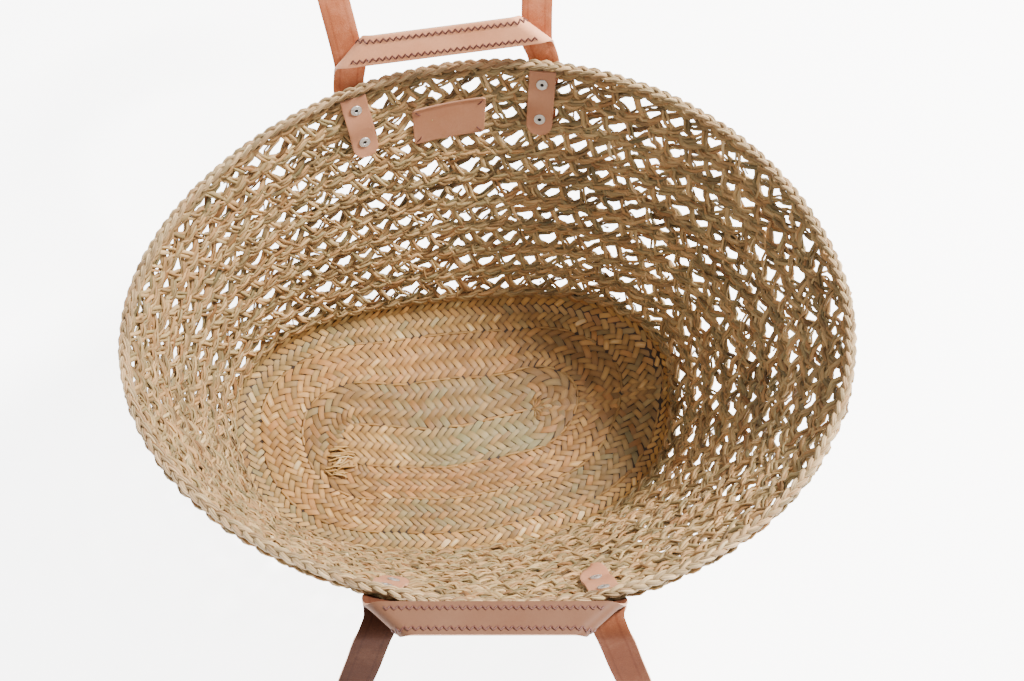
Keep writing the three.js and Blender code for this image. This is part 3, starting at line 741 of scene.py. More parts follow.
def plait_floats(name, face, seed, steps, rows_across):
    """The plait's visible leaf lengths on one face, each a small crowned patch."""
    plait = settings("basket_plait")
    generator = np.random.default_rng(seed)
    pitch = plait.width / plait.columns
    rows = int(coil_length() / pitch)
    column, row, turns = float_places(plait.columns, rows, pitch)
    odd = (column + turns) % 2
    centre_along = (row + 0.5 * odd) * pitch + pitch / 2
    centre_beside = (column - (plait.columns - 1) / 2) * pitch
    inside = plan_share(coil_plan(plait, centre_along, centre_beside))[0] < 0.995
    column, row, odd = column[inside], row[inside], odd[inside]
    centre_along, centre_beside = centre_along[inside], centre_beside[inside]
    slant = np.where(odd == 0, 1.0, -1.0) * face

    strip = np.where(odd == 0, row - column, row + column) + 40
    strip_tone = generator.normal(0, 1, (2, rows + 100))[odd, strip]
    strip_hue = generator.uniform(0, 1, (2, rows + 100))[odd, strip]
    count = len(column)
    mesh, number, i, j = grid_copies(name, count, steps, rows_across)
    a = 2 * i / steps - 1
    b = (2 * j / rows_across - 1) * face
    half_length = pitch / math.sqrt(2) * FLOAT_LAP
    half_width = pitch / math.sqrt(2) / 2 * (FLOAT_FILL + 0.05 * generator.uniform(-1, 1, count))
    loose = 3 + 6 * smooth(coil_plan(plait, centre_along, centre_beside)[:, 0], 40 * MM, 110 * MM)
    turned = np.radians(45 + loose * generator.uniform(-1, 1, count))
    run = np.stack([np.cos(turned), slant * np.sin(turned)], axis=-1)[number]
    side = np.stack([-run[:, 1], run[:, 0]], axis=-1)
    narrowed = b * half_width[number] * (1 - 0.12 * a ** 4)
    local = run * (a * half_length)[:, None] + side * narrowed[:, None]
    along = centre_along[number] + local[:, 0]
    beside = centre_beside[number] + local[:, 1]
    plan = coil_plan(plait, np.maximum(along, 0), beside)
    crown = plait.crown * (1 + 0.18 * generator.uniform(-1, 1, count))[number]
    seam = 0.5 * MM * (np.abs(beside) / (plait.width / 2)) ** 6
    tip = generator.uniform(-0.12, 0.12, count)[number] * MM
    height = 0.35 * MM + crown * (1 - a ** 2) - 0.22 * MM * b ** 2 - seam + tip * b
    points = base_surface(plan, face * np.maximum(height, 0.05 * MM))

    way_round = centre_along / coil_length()
    drift = wander(generator, 1, 46, way_round)[0]
    round_tone = np.interp(centre_along, ROUND_ALONG, ROUND_TONE)
    round_hue = np.interp(centre_along, ROUND_ALONG, ROUND_HUE)
    tone = 0.56 + round_tone + 0.15 * strip_tone + 0.11 * drift
    tone = tone + 0.12 * generator.normal(0, 1, count)
    hue = np.where(strip_hue > 0.9, 0.42, np.where(strip_hue < 0.12, -0.4, 0.0))
    hue = hue + 0.15 * wander(generator, 1, 30, way_round)[0] + round_hue
    hue = hue + 0.1 * generator.normal(0, 1, count)
    # Each leaf length is painted darker towards its ends and sides, where it passes under its neighbours:
    # painted shade
    tone = tone[number] - 0.45 * a ** 6 - 0.3 * b ** 4
    uv = np.stack([a * half_length + 0.1 * strip[number], b * half_width[number] + 0.013 * number], axis=-1)
    return lay(mesh, points, uv, tone, hue[number], outwards=False)


def plait_seams():
    """Leaf strips that run along the joints between the plait's rounds, a little below its top."""
    plait = settings("basket_plait")
    generator = np.random.default_rng(11)
    starts = np.arange(150 * MM, coil_length() - 20 * MM, SEAM_PITCH)
    inner = coil_plan(plait, starts, np.full_like(starts, plait.width / 2))
    starts = starts[(plan_share(inner)[0] < 0.97) & (generator.uniform(0, 1, len(starts)) < 0.6)]
    count = len(starts)
    along = starts[:, None] + np.linspace(0, 1, 7) * generator.uniform(12, 17, (count, 1)) * MM
    along = np.minimum(along, coil_length() - 1 * MM)
    beside = plait.width / 2 + generator.uniform(-1, 1, (count, 1)) * 0.5 * MM + 0 * along
    height = 0.1 * MM + 0.75 * MM * np.sin(np.linspace(0, np.pi, 7)) + 0 * along
    centre = base_surface(coil_plan(plait, along, beside), height)
    over = base_surface(coil_plan(plait, along, beside + 0.4 * MM), height)
    side = unit(over - centre)
    tangent = unit(np.gradient(centre, axis=1))
    face = unit(np.cross(tangent, side))
    side = np.cross(face, tangent)
    wide = 1.7 * MM * (1 - 0.5 * np.linspace(-1, 1, 7) ** 6) + 0 * along
    tone = 0.3 + 0.12 * generator.normal(0, 1, (count, 1)) + 0 * along
    hue = 0.25 * generator.uniform(-1, 1, (count, 1)) + 0 * along
    return strands("plait_seams", centre, side, face, wide, 0.4 * MM + 0 * along, tone, hue, sides=4)


def plait_start():
    """The frayed start of the plait: flat loose ends that fan out over the first round."""
    generator = np.random.default_rng(21)
    count = 34
    steps = np.linspace(0, 1, 8)[None, :]
    start = START_PLACE + generator.uniform(-1, 1, (count, 2)) * np.array([7, 13]) * MM
    bearing = generator.normal(0, 0.45, (count, 1))
    way = bearing + generator.uniform(-0.7, 0.7, (count, 1)) * steps
    length = generator.uniform(10, 19, (count, 1)) * MM
    x = start[:, :1] + length * np.cumsum(np.cos(way), axis=1) / 8
    y = start[:, 1:] + length * np.cumsum(np.sin(way), axis=1) / 8
    z = (4.3 + 1.2 * np.sin(np.pi * steps) * generator.uniform(0.5, 1, (count, 1))) * MM
    centre = np.stack([x, y, z], axis=-1)
    tangent = unit(np.gradient(centre, axis=1))
    side = unit(np.cross(np.array([0, 0, 1.0]), tangent))
    wide = generator.uniform(0.7, 1.6, (count, 1)) * MM * (1 - 0.85 * steps ** 4)
    tone = 0.74 + 0.2 * generator.uniform(-1, 1, (count, 1)) + 0 * steps
    hue = -0.15 + 0.25 * generator.uniform(-1, 1, (count, 1)) + 0 * steps
    return strands("plait_start", centre, side, np.cross(tangent, side), wide, wide * 0.4, tone, hue, sides=4)


def base_core():
    """The inner layer of the plait, painted near black as the shade between the leaves, and seen only as dark
    lines between them.
    """
    around, outward = 120, 26
    mesh, number, i, j = grid_copies("plait_core", 1, around, outward)
    bearing = 2 * np.pi * (i % around) / around
    share = 0.995 * j / outward
    unit_plan = np.stack([np.cos(bearing), np.sin(bearing)], axis=-1)
    reach = 1 / plan_share(unit_plan)[0]
    plan = unit_plan * (reach * share)[:, None] + 1e-9
    points = base_surface(plan, np.zeros(len(plan)))
    flat = np.zeros(len(plan))
    return lay(mesh, points, plan, flat + 0.1, flat)


class BASKET_OT_plaited_base(bpy.types.Operator):
    """Make the coiled herringbone plait of the base and its turned-up edge"""

    bl_idname = "basket.plaited_base"
    bl_label = "Plaited base"

    def execute(self, context):
        colours = settings("basket_colours")
        dark = blended(tuple(colours.leaf_dark), (0.30, 0.15, 0.045), 0.45)
        leaf = leaf_material("plait_leaf", dark, (0.46, 0.25, 0.072), roughness=0.55)
        core = leaf_material("plait_shadow", (0.02, 0.01, 0.004), (0.1, 0.05, 0.018))
        add_piece(plait_floats("plait_upper", 1, 3, 6, 3), [leaf], "straw", "base", "base_edge")
        add_piece(plait_floats("plait_lower", -1, 4, 4, 2), [leaf], "straw", "base", "base_edge")
        add_piece(plait_seams(), [leaf], "straw", "base", "base_edge")
        add_piece(plait_start(), [leaf], "straw", "base", "base_edge")
        piece = add_piece(base_core(), [core], "straw", "base", "base_edge")
        wall = piece.modifiers.new("Thickness", "SOLIDIFY")
        wall.thickness = 0.5 * MM
        wall.offset = 0
        return {"FINISHED"}


# Netted wall

# The net's foot and top as shares of the wall, and its steps to a wave
NET_LOW = 0.03
NET_HIGH = 0.985
NET_STEPS = 18
STRAND_STRIPS = 3

# The share of a wave in which a strand rises, and how far strands pass in front of each other
RISING_SHARE = 0.43
CROSSING = 1.9 * MM

# Length of one full turn of the lacing cord, and the number of loose ends in the whole wall
LACE_LAY = 30 * MM
STRAY_ENDS = 420

# The wall's usual height along its slope, and its usual distance from the middle
WALL_SLOPE = 252 * MM
WALL_REACH = 215 * MM


def wave_height(phase, rising):
    """A strand's height across its band, 0 to 1, and which way it runs, 1 up to -1 down."""
    place = phase - np.floor(phase)
    up = place < rising
    share = np.where(up, place / rising, (1 - place) / (1 - rising))
    rounded = 0.5 - 0.5 * np.cos(np.pi * share)
    height = 0.62 * share + 0.38 * rounded
    bow = np.sin(np.pi * np.where(up, place / rising, (place - rising) / (1 - rising)))
    way = np.where(up, 1.0, -1.0) * np.maximum(bow, 0) ** 0.4
    return height, way


def closed_tangent(centre):
    """Unit runs of closed rows of points, whose last point is their first again."""
    tangent = unit(np.roll(centre[:, :-1], -1, axis=1) - np.roll(centre[:, :-1], 1, axis=1))
    return np.concatenate([tangent, tangent[:, :1]], axis=1)


def bundled_strips(centre, normal, gap, roll, count):
    """Strips laid round each row of points as a flat bundle that is rolled about its strand."""
    tangent = closed_tangent(centre)
    side = unit(np.cross(normal, tangent))
    face = np.cross(tangent, side)
    centres = []
    for strip in range(count):
        turn = (roll + 2 * np.pi * strip / count)[..., None]
        offset = side * np.cos(turn) + face * np.sin(turn) * 0.62
        centres.append(centre + offset * gap[..., None])
    return np.concatenate(centres), np.concatenate([side] * count), np.concatenate([face] * count)


def net_band(number):
    """One round of openwork braid: its strands rise and fall across the band and cross each other."""
    net = settings("basket_net")
    generator = np.random.default_rng([net.seed, number])
    middle = NET_LOW + (NET_HIGH - NET_LOW) * (number + 0.5) / net.bands
    length = angles_round(middle, np.array([0.0]))[1]
    waves = round(length / net.wave)
    steps = waves * NET_STEPS
    places = np.linspace(0, 1, steps + 1)
    rows = net.strands
    start = np.arange(rows)[:, None] / rows + generator.uniform(0, 1)
    phase = places * waves + start + 0.065 * wander(generator, rows, waves * 3, places)
    height, way = wave_height(phase, RISING_SHARE)
    shift = 1.6 * MM / length * wander(generator, rows, waves * 2, places)
    angle = angles_round(middle, places + shift)[0]
    width = (NET_HIGH - NET_LOW) / net.bands + net.overlap / WALL_SLOPE
    lift = 0.08 * wander(generator, rows, waves * 4, places)
    share = middle + (height - 0.5 + lift) * width
    out = -CROSSING * np.cos(2 * np.pi * rows / 2 * height) * way - 0.55 * MM * way
    out = out + 0.4 * MM * wander(generator, rows, waves * 3, places)
    centre = wall_point(angle, share, out)
    normal = wall_axes(angle, share)[2]
    centre[:, -1] = centre[:, 0]
    normal[:, -1] = normal[:, 0]
    half = net.strip / 2
    gap = half * (1.12 + 0.28 * wander(generator, rows, waves * 3, places))
    roll = 2 * np.pi * places * waves * 2 + 0.9 * wander(generator, rows, waves * 2, places)
    centres, side, face = bundled_strips(centre, normal, gap, roll, STRAND_STRIPS)
    strips = STRAND_STRIPS * rows
    lean = 0.9 * wander(generator, strips, waves * 4, places)[..., None]
    turned = side * np.cos(lean) + face * np.sin(lean)
    flat = face * np.cos(lean) - side * np.sin(lean)
    wide = half * (0.92 + 0.3 * wander(generator, strips, waves * 5, places))
    high = half * 0.5 * (1.0 + 0.3 * wander(generator, strips, waves * 4, places))
    tone = 0.46 + 0.2 * generator.uniform(-1, 1, (strips, 1))
    tone = tone + 0.3 * wander(generator, strips, waves * 2, places)
    tone = tone + 0.1 * np.concatenate([way] * STRAND_STRIPS)
    hue = 0.62 * wander(generator, strips, waves * 2, places) - 0.08
    return strands(f"net_band_{number + 1}", centres, turned, flat, wide, high, tone, hue, sides=5)


def net_lacing(number):
    """The two-ply cord that laces one band to the next."""
    net = settings("basket_net")
    generator = np.random.default_rng([net.seed, 50 + number])
    middle = NET_LOW + (NET_HIGH - NET_LOW) * number / net.bands
    length = angles_round(middle, np.array([0.0]))[1]
    turns = round(length / LACE_LAY)
    steps = turns * 8
    places = np.linspace(0, 1, steps + 1)
    angle = angles_round(middle, places)[0]
    phase = 2 * np.pi * (places * turns + np.array([[0.0], [0.5]]))
    phase = phase + 0.5 * wander(generator, 2, turns * 2, places)
    up = 2.8 * MM * np.sin(phase) + 1.1 * MM * wander(generator, 1, turns * 2, places)
    out = 2.5 * MM * np.cos(phase)
    angle = np.broadcast_to(angle, up.shape)
    share = middle + up / WALL_SLOPE
    centre = wall_point(angle, share, out)
    normal = wall_axes(angle, share)[2]
    centre[:, -1] = centre[:, 0]
    normal[:, -1] = normal[:, 0]
    half = net.strip / 2
    gap = half * (0.9 + 0.2 * wander(generator, 2, turns * 2, places))
    roll = phase + 0.6 * wander(generator, 2, turns, places)
    centres, side, face = bundled_strips(centre, normal, gap, roll, STRAND_STRIPS)
    strips = STRAND_STRIPS * 2
    wide = half * (0.95 + 0.2 * wander(generator, strips, turns * 2, places))
    high = half * 0.55 * (1.0 + 0.2 * wander(generator, strips, turns * 2, places))
    tone = 0.5 + 0.15 * generator.uniform(-1, 1, (strips, 1))
    tone = tone + 0.22 * wander(generator, strips, turns, places)
    hue = 0.55 * wander(generator, strips, turns, places) - 0.06
    return strands(f"net_lacing_{number}", centres, side, face, wide, high, tone, hue, sides=5)


def stray_ends():
    """Short ends of leaf that stand out of the net where strips were pieced on."""
    net = settings("basket_net")
    generator = np.random.default_rng([net.seed, 200])
    count = STRAY_ENDS
    steps = np.linspace(0, 1, 6)[None, :]
    start = generator.uniform(0, 2 * np.pi, (count, 1))
    share = generator.uniform(NET_LOW, NET_HIGH, (count, 1))
    bearing = generator.uniform(0, 2 * np.pi, (count, 1))
    length = generator.uniform(6, 15, (count, 1)) * MM
    curve = generator.uniform(-0.9, 0.9, (count, 1))
    way = bearing + curve * steps
    aside = length * np.cumsum(np.cos(way), axis=1) / 6
    rise = length * np.cumsum(np.sin(way), axis=1) / 6
    angle = start + aside / WALL_REACH
    out = generator.uniform(-1, 1, (count, 1)) * MM * 2
    out = out + np.sign(generator.uniform(-1, 0.5, (count, 1))) * 3.2 * MM * steps
    share = np.clip(share + rise / WALL_SLOPE, 0.01, 0.995)
    centre = wall_point(angle, share, out)
    tangent = unit(np.gradient(centre, axis=1))
    normal = wall_axes(angle, share)[2]
    side = unit(np.cross(normal, tangent))
    wide = net.strip * 0.32 * generator.uniform(0.6, 1.2, (count, 1)) * (1 - steps ** 3 * 0.95)
    tone = 0.55 + 0.25 * generator.uniform(-1, 1, (count, 1)) + 0 * steps
    hue = 0.4 * generator.uniform(-1, 1, (count, 1)) + 0 * steps
    return strands("net_ends", centre, side, np.cross(tangent, side), wide, wide * 0.35, tone, hue, sides=4)


class BASKET_OT_netted_wall(bpy.types.Operator):
    """Make the bands of openwork braid and the cords that lace them together"""

    bl_idname = "basket.netted_wall"
    bl_label = "Netted wall"

    def execute(self, context):
        colours = settings("basket_colours")
        leaf = leaf_material("net_leaf", tuple(colours.leaf_dark), tuple(colours.leaf_pale))
        bands = settings("basket_net").bands
        for number in range(bands):
            add_piece(net_band(number), [leaf], "straw", "net_wall")
        for number in range(bands + 1):
            add_piece(net_lacing(number), [leaf], "straw", "net_wall")
        add_piece(stray_ends(), [leaf], "straw", "net_wall")
        return {"FINISHED"}


# Braided rim

# Length in which a strand of the rim's braid comes back, and how far a strip lies from its middle
RIM_LAY = 31 * MM
RIM_STRIP_OUT = 1.3 * MM


def rim_braid():
    """Three strands of leaf strips braided over the net's top edge."""
    net = settings("basket_net")
    generator = np.random.default_rng([net.seed, 99])
    length = angles_round(1.0, np.array([0.0]))[1]
    turns = round(length / RIM_LAY)
    steps = turns * 10
    places = np.linspace(0, 1, steps + 1)
    phase = 2 * np.pi * (places * turns + np.arange(3)[:, None] / 3)
    phase = phase + 0.25 * wander(generator, 3, turns * 2, places)
    aside = 2.5 * MM * np.sin(phase)
    rise = 1.9 * MM * np.sin(2 * phase) + 0.5 * MM * wander(generator, 1, turns, places)
    angle = np.broadcast_to(angles_round(1.0, places)[0], phase.shape)
    inwards = (WALL_THICKNESS - RIM_WIDTH) / 2
    centre = wall_point(angle, np.ones_like(angle), inwards + aside)
    centre[..., 2] += CLEARANCE + RIM_HEIGHT / 2 + rise
    outward = wall_axes(angle, np.ones_like(angle))[2]
    level = unit(outward * np.array([1, 1, 0]))
    centre[:, -1] = centre[:, 0]
    tangent = closed_tangent(centre)
    across = unit(level - tangent * np.sum(level * tangent, axis=-1, keepdims=True))
    over = np.cross(tangent, across)
    centres, sides, faces = [], [], []
    for strip in range(3):
        fan = (strip - 1) * 0.95 + 0.25 * wander(generator, 3, turns, places)
        offset = across * np.sin(fan)[..., None] + over * np.cos(fan)[..., None]
        centres.append(centre + offset * RIM_STRIP_OUT)
        sides.append(unit(np.cross(offset, tangent)))
        faces.append(offset)
    for strip in range(2):
        offset = unit(-over + across * (strip - 0.5) * 1.6)
        centres.append(centre + offset * RIM_STRIP_OUT)
        sides.append(unit(np.cross(offset, tangent)))
        faces.append(offset)
    centres, sides, faces = np.concatenate(centres), np.concatenate(sides), np.concatenate(faces)
    count = len(centres)
    wide = 1.15 * MM * (1 + 0.25 * wander(generator, count, turns * 2, places))
    high = 0.75 * MM * (1 + 0.2 * wander(generator, count, turns * 2, places))
    tone = 0.52 + 0.16 * generator.uniform(-1, 1, (count, 1))
    tone = tone + 0.26 * wander(generator, count, turns, places)
    hue = 0.35 * wander(generator, count, turns, places)
    return strands("rim_braid", centres, sides, faces, wide, high, tone, hue, sides=5)


class BASKET_OT_braided_rim(bpy.types.Operator):
    """Make the braid that is sewn over the net's top edge"""

    bl_idname = "basket.braided_rim"
    bl_label = "Braided rim"

    def execute(self, context):
        colours = settings("basket_colours")
        bleached = blended(tuple(colours.leaf_pale), (0.62, 0.45, 0.26), 0.5)
        leaf = leaf_material("rim_leaf", tuple(colours.leaf_dark), bleached)
        add_piece(rim_braid(), [leaf], "braid", "rim")
        return {"FINISHED"}


# Leather: sheets mapped from where they lie on a side to their place in space

def side_frame(side):
    """The far or near side's axes: its two feet on the wall, its middle, its run and its lean."""
    left = wall_place(HANDLE_CENTRE_X - HALF_SPACING, side, RIVET_MIDDLE)
    right = wall_place(HANDLE_CENTRE_X + HALF_SPACING, side, RIVET_MIDDLE)
    middle = (left["origin"] + right["origin"]) / 2
    across = unit(right["origin"] - left["origin"])
    out = unit(np.cross([0, 0, 1], across)) * side
    rise = left["up"] + right["up"]
    lean = math.atan2(float(rise @ out), float(rise[2]))
    return {"side": side, "left": left, "right": right, "middle": middle, "across": across,
            "out": out, "lean": lean}


def drape(side, bend, x, height, depth):
    """A leather point at x across the side, a height along it and a depth inwards from it."""
    straight, length, turn = bend
    straight = RIVET_MIDDLE + straight
    radius = length / turn
    bent = np.clip((height - straight) / length, 0, 1) * turn
    before = np.minimum(height, straight)
    after = np.maximum(height - straight - length, 0)
    lean = side["lean"]
    last = lean + bent
    out = before * np.sin(lean) + radius * (np.cos(lean) - np.cos(last)) + after * np.sin(last)
    up = before * np.cos(lean) + radius * (np.sin(last) - np.sin(lean)) + after * np.cos(last)
    out = out - depth * np.cos(last)
    up = up + depth * np.sin(last)
    point = side["middle"] + side["across"] * x[..., None] + side["out"] * out[..., None]
    return point + np.array([0, 0, 1]) * up[..., None]


def on_wall(side, end, beside, height, offset):
    """A point of the stretch that lies flat against the wall, at one end of a side."""
    def at(place):
        return (place["origin"] + place["along"] * (-side["side"] * beside * end)[..., None]
                + place["up"] * height[..., None] + place["out"] * np.asarray(offset)[..., None])
    return np.where((end < 0)[..., None], at(side["left"]), at(side["right"]))


def settle(flat, free, height):
    """Past the rim the leather leaves the wall's own slope and follows the side's common one."""
    share = smooth(height, RIVET_MIDDLE, RIVET_MIDDLE + SETTLE_LENGTH)[..., None]
    return flat * (1 - share) + free * share


def handle_half(name):
    """Half of a short handle's length along its leather, from its middle to one foot."""
    return HALF_SPACING + RIVET_MIDDLE + HANDLE_STAND[name] + TAB_BELOW


def handle_middle(side, name, s, t):
    """A short handle's middle surface: each end rises and turns over a diagonal curl."""
    stand = RIVET_MIDDLE + HANDLE_STAND[name]
    root2 = math.sqrt(2)
    shift = math.pi * HANDLE_CURL / root2
    turn_at = HALF_SPACING - shift
    signed = (2 * s - 1) * handle_half(name)
    end = np.where(signed < 0, -1.0, 1.0)
    along = np.abs(signed)
    beside = (t - 0.5) * HANDLE_WIDTH
    past = (along - turn_at + beside) / root2
    line = (along - turn_at - beside) / root2
    turn = np.clip(past / HANDLE_CURL, 0, math.pi)
    rolled = HANDLE_CURL * np.sin(turn) - np.maximum(past - math.pi * HANDLE_CURL, 0)
    ahead = np.where(past > 0, rolled, past)
    depth = HANDLE_CURL * (1 + np.cos(turn))
    x = turn_at + (line + ahead) / root2
    height = stand + (ahead - line) / root2
    free = drape(side, HANDLE_BEND[name], end * x, height, depth - HANDLE_OFFSET)
    flat = on_wall(side, end, x - HALF_SPACING, height, HANDLE_OFFSET - depth)
    return settle(flat, free, height)


def route_points(points, count):
    """A smooth curve through points, sampled evenly: its points, its run and its length."""
    points = np.array(points, dtype=float)
    points = np.concatenate([[2 * points[0] - points[1]], points, [2 * points[-1] - points[-2]]])
    fine = []
    for first in range(len(points) - 3):
        p0, p1, p2, p3 = points[first:first + 4]
        d0, d1, d2 = (np.sum((b - a) ** 2) ** 0.25 for a, b in ((p0, p1), (p1, p2), (p2, p3)))
        t1 = ((p1 - p0) / d0 - (p2 - p0) / (d0 + d1) + (p2 - p1) / d1) * d1
        t2 = ((p2 - p1) / d1 - (p3 - p1) / (d1 + d2) + (p3 - p2) / d2) * d1
        u = np.linspace(0, 1, 80, endpoint=first == len(points) - 4)[:, None]
        cubic = p1 + t1 * u + (3 * (p2 - p1) - 2 * t1 - t2) * u ** 2 + (2 * (p1 - p2) + t1 + t2) * u ** 3
        fine.append(cubic)
    fine = np.concatenate(fine)
    walked = np.concatenate([[0], np.cumsum(np.linalg.norm(np.diff(fine, axis=0), axis=1))])
    even = np.linspace(0, walked[-1], count)
    sampled = np.stack([np.interp(even, walked, fine[:, k]) for k in range(2)], axis=-1)
    return sampled, unit(np.gradient(sampled, axis=0)), walked[-1]


def strap_middle(side, name, s, t):
    """A long strap's middle surface: a loop that turns edgeways towards its bight."""
    route = [(x * HALF_SPACING, height * STRAP_LOOP) for x, height in STRAP_ROUTE[name]]
    back = [(-x, height) for x, height in route[-2::-1]]
    ends = [(HALF_SPACING, -TAB_BELOW)], [(-HALF_SPACING, -TAB_BELOW)]
    count = 1201
    points, runs, _ = route_points(ends[0] + route + back + ends[1], count)
    place = s * (count - 1)
    low = np.clip(np.floor(place).astype(int), 0, count - 2)
    blend = (place - low)[..., None]
    point = points[low] * (1 - blend) + points[low + 1] * blend
    run = unit(runs[low] * (1 - blend) + runs[low + 1] * blend)
    end = np.where(s < 0.5, 1.0, -1.0)
    twist = smooth(np.minimum(s, 1 - s) * 2, STRAP_TWIST_FROM, 1) * math.pi / 2
    beside = (t - 0.5) * STRAP_WIDTH
    level = beside * np.cos(twist)
    x = point[..., 0] + run[..., 1] * level
    height = point[..., 1] - run[..., 0] * level
    depth = beside * np.sin(twist)
    free = drape(side, STRAP_BEND[name], x, height, depth - STRAP_OFFSET)
    flat = on_wall(side, end, end * x - HALF_SPACING, height, np.full_like(x, STRAP_OFFSET))
    return settle(flat, free, height)


def leather_sheet(name, middle_at, along, across, length, thickness, front, back, painted_shading=0.0):
    """A strip of leather round its middle surface, with its two sides and a cut edge."""
    mesh, number, i, j = grid_copies(name, 1, along, across)
    s = i / along
    t = j / across
    uv = np.stack([s * length, t], axis=-1)
    flat = np.zeros(len(s))
    # The painted light and shade of each end, blended over the middle, goes into the tone
    right, left = np.broadcast_to(painted_shading, 2)
    lay(mesh, middle_at(s, t), uv, right + (left - right) * smooth(s, 0.4, 0.6), flat, outwards=False)
    return mesh, [front, edge_material(), back], thickness


def add_leather(sheet, slot, *nodes):
    """Makes a piece of a leather sheet: its thickness, its cut edge and the edge's rounding."""
    mesh, materials, thickness = sheet
    piece = add_piece(mesh, materials, slot, *nodes)
    wall = piece.modifiers.new("Thickness", "SOLIDIFY")
    wall.thickness = thickness
    wall.offset = 0
    wall.use_even_offset = True
    wall.material_offset = 2
    wall.material_offset_rim = 1
    bevel = piece.modifiers.new("Edges", "BEVEL")
    bevel.width = thickness * 0.22
    bevel.segments = 2
    bevel.limit_method = "ANGLE"
    bevel.angle_limit = math.radians(50)
    return piece


def surface_normal(middle_at, s, t):
    """The unit normal of a middle surface at shares s along it and t across it."""
    step = 1e-4
    along = middle_at(s + step, t) - middle_at(s - step, t)
    across = middle_at(s, t + step) - middle_at(s, t - step)
    return unit(np.cross(along, across))


def zigzag(name, middle_at, length, thickness, reach, face):
    """Two rows of zigzag stitching on one face of a handle's middle band."""
    half = reach / length
    steps = int(2 * reach / STITCH_PITCH) * STITCH_STEPS
    place = np.linspace(-1, 1, steps + 1)
    count = np.arange(steps + 1) / STITCH_STEPS
    swung = 2 * np.abs(count / 2 - np.floor(count / 2 + 0.5)) * 2 - 1
    dip = 0.28 * MM * (1 - 2 * np.abs(count - np.floor(count) - 0.5))
    centre, side, up = [], [], []
    for row in STITCH_ROWS:
        s = 0.5 + half * place
        t = row + swung * STITCH_SWING / HANDLE_WIDTH
        normal = surface_normal(middle_at, s, t) * face
        point = middle_at(s, t) + normal * (thickness / 2 + dip)[:, None]
        tangent = unit(np.gradient(point, axis=0))
        centre.append(point)
        side.append(unit(np.cross(normal, tangent)))
        up.append(normal)
    centre, side, up = np.array(centre), np.array(side), np.array(up)
    size = np.full(centre.shape[:2], THREAD_SIZE)
    size[:, [0, -1]] = 0
    flat = np.zeros(centre.shape[:2])
    return strands(name, centre, side, up, size, size * 0.8, flat, flat, sides=5)


class BASKET_OT_handles(bpy.types.Operator):
    """Make the two short handles with their rows of zigzag stitching"""

    bl_idname = "basket.handles"
    bl_label = "Short handles"

    def execute(self, context):
        for name, sign in SIDES.items():
            side = side_frame(sign)

            def middle_at(s, t, side=side, name=name):
                return handle_middle(side, name, s, t)

            length = 2 * handle_half(name)
            front, back = (grain_material(), flesh_material())[::sign]
            sheet = leather_sheet(f"handle_leather_{name}", middle_at, 220, 10, length, HANDLE_THICKNESS,
                                  front, back, HANDLE_PAINTED_LIGHT[name])
            add_leather(sheet, "leather", f"handle_{name}")
            thread = zigzag(f"handle_stitches_{name}", middle_at, length, HANDLE_THICKNESS, STITCH_REACH,
                            sign)
            add_piece(thread, [thread_material()], "leather", f"handle_{name}")
        return {"FINISHED"}


class BASKET_OT_long_straps(bpy.types.Operator):
    """Make the two long straps"""

    bl_idname = "basket.long_straps"
    bl_label = "Long straps"

    def execute(self, context):
        for name, sign in SIDES.items():
            side = side_frame(sign)

            def middle_at(s, t, side=side, name=name):
                return strap_middle(side, name, s, t)

            front, back = (grain_material(), flesh_material())[::sign]
            sheet = leather_sheet(f"strap_leather_{name}", middle_at, 300, 8, STRAP_LENGTH, STRAP_THICKNESS,
                                  front, back, STRAP_PAINTED_LIGHT[name])
            add_leather(sheet, "strap_leather", f"strap_{name}")
        return {"FINISHED"}


# Tabs, rivets and label

def tab_middle(place, bulge, curl, s, t):
    """A tab's middle surface in the wall's axes: rounded at its foot, bowed between its rivets."""
    half = TAB_WIDTH / 2
    top = RIVET_MIDDLE - TAB_TOP_GAP
    height = top - s * TAB_LENGTH
    into_end = np.clip(half - TAB_BELOW - height, 0, half)
    width = np.sqrt(np.maximum(half ** 2 - into_end ** 2, 0))
    beside = (2 * t - 1) * width
    bow = bulge * np.cos(np.clip(height / RIVET_SPACING, -0.5, 0.5) * math.pi) ** 2
    lift = curl * smooth(-height, RIVET_SPACING / 2 + 2 * MM, TAB_BELOW) * (0.6 + 0.8 * t)
    inner = WALL_THICKNESS / 2 + TAB_SEAT + TAB_THICKNESS / 2
    return (place["origin"] + place["along"] * beside[..., None] + place["up"] * height[..., None]
            - place["out"] * (inner + bow + lift)[..., None])


class BASKET_OT_tabs(bpy.types.Operator):
    """Make the four inner tabs under the rim"""

    bl_idname = "basket.tabs"
    bl_label = "Inner tabs"

    def execute(self, context):
        for name, sign in SIDES.items():
            side = side_frame(sign)
            for end in ("left", "right"):
                place = side[end]
                curl = TAB_CURL_MOST if (name, end) == ("near", "right") else TAB_CURL

                def middle_at(s, t, place=place, curl=curl):
                    return tab_middle(place, TAB_BULGE, curl, s, t)

                sheet = leather_sheet(f"tab_leather_{name}_{end}", middle_at, 40, 12, TAB_LENGTH,
                                      TAB_THICKNESS, flesh_material(), grain_material())
                add_leather(sheet, "leather", f"tab_{name}_{end}")
        return {"FINISHED"}


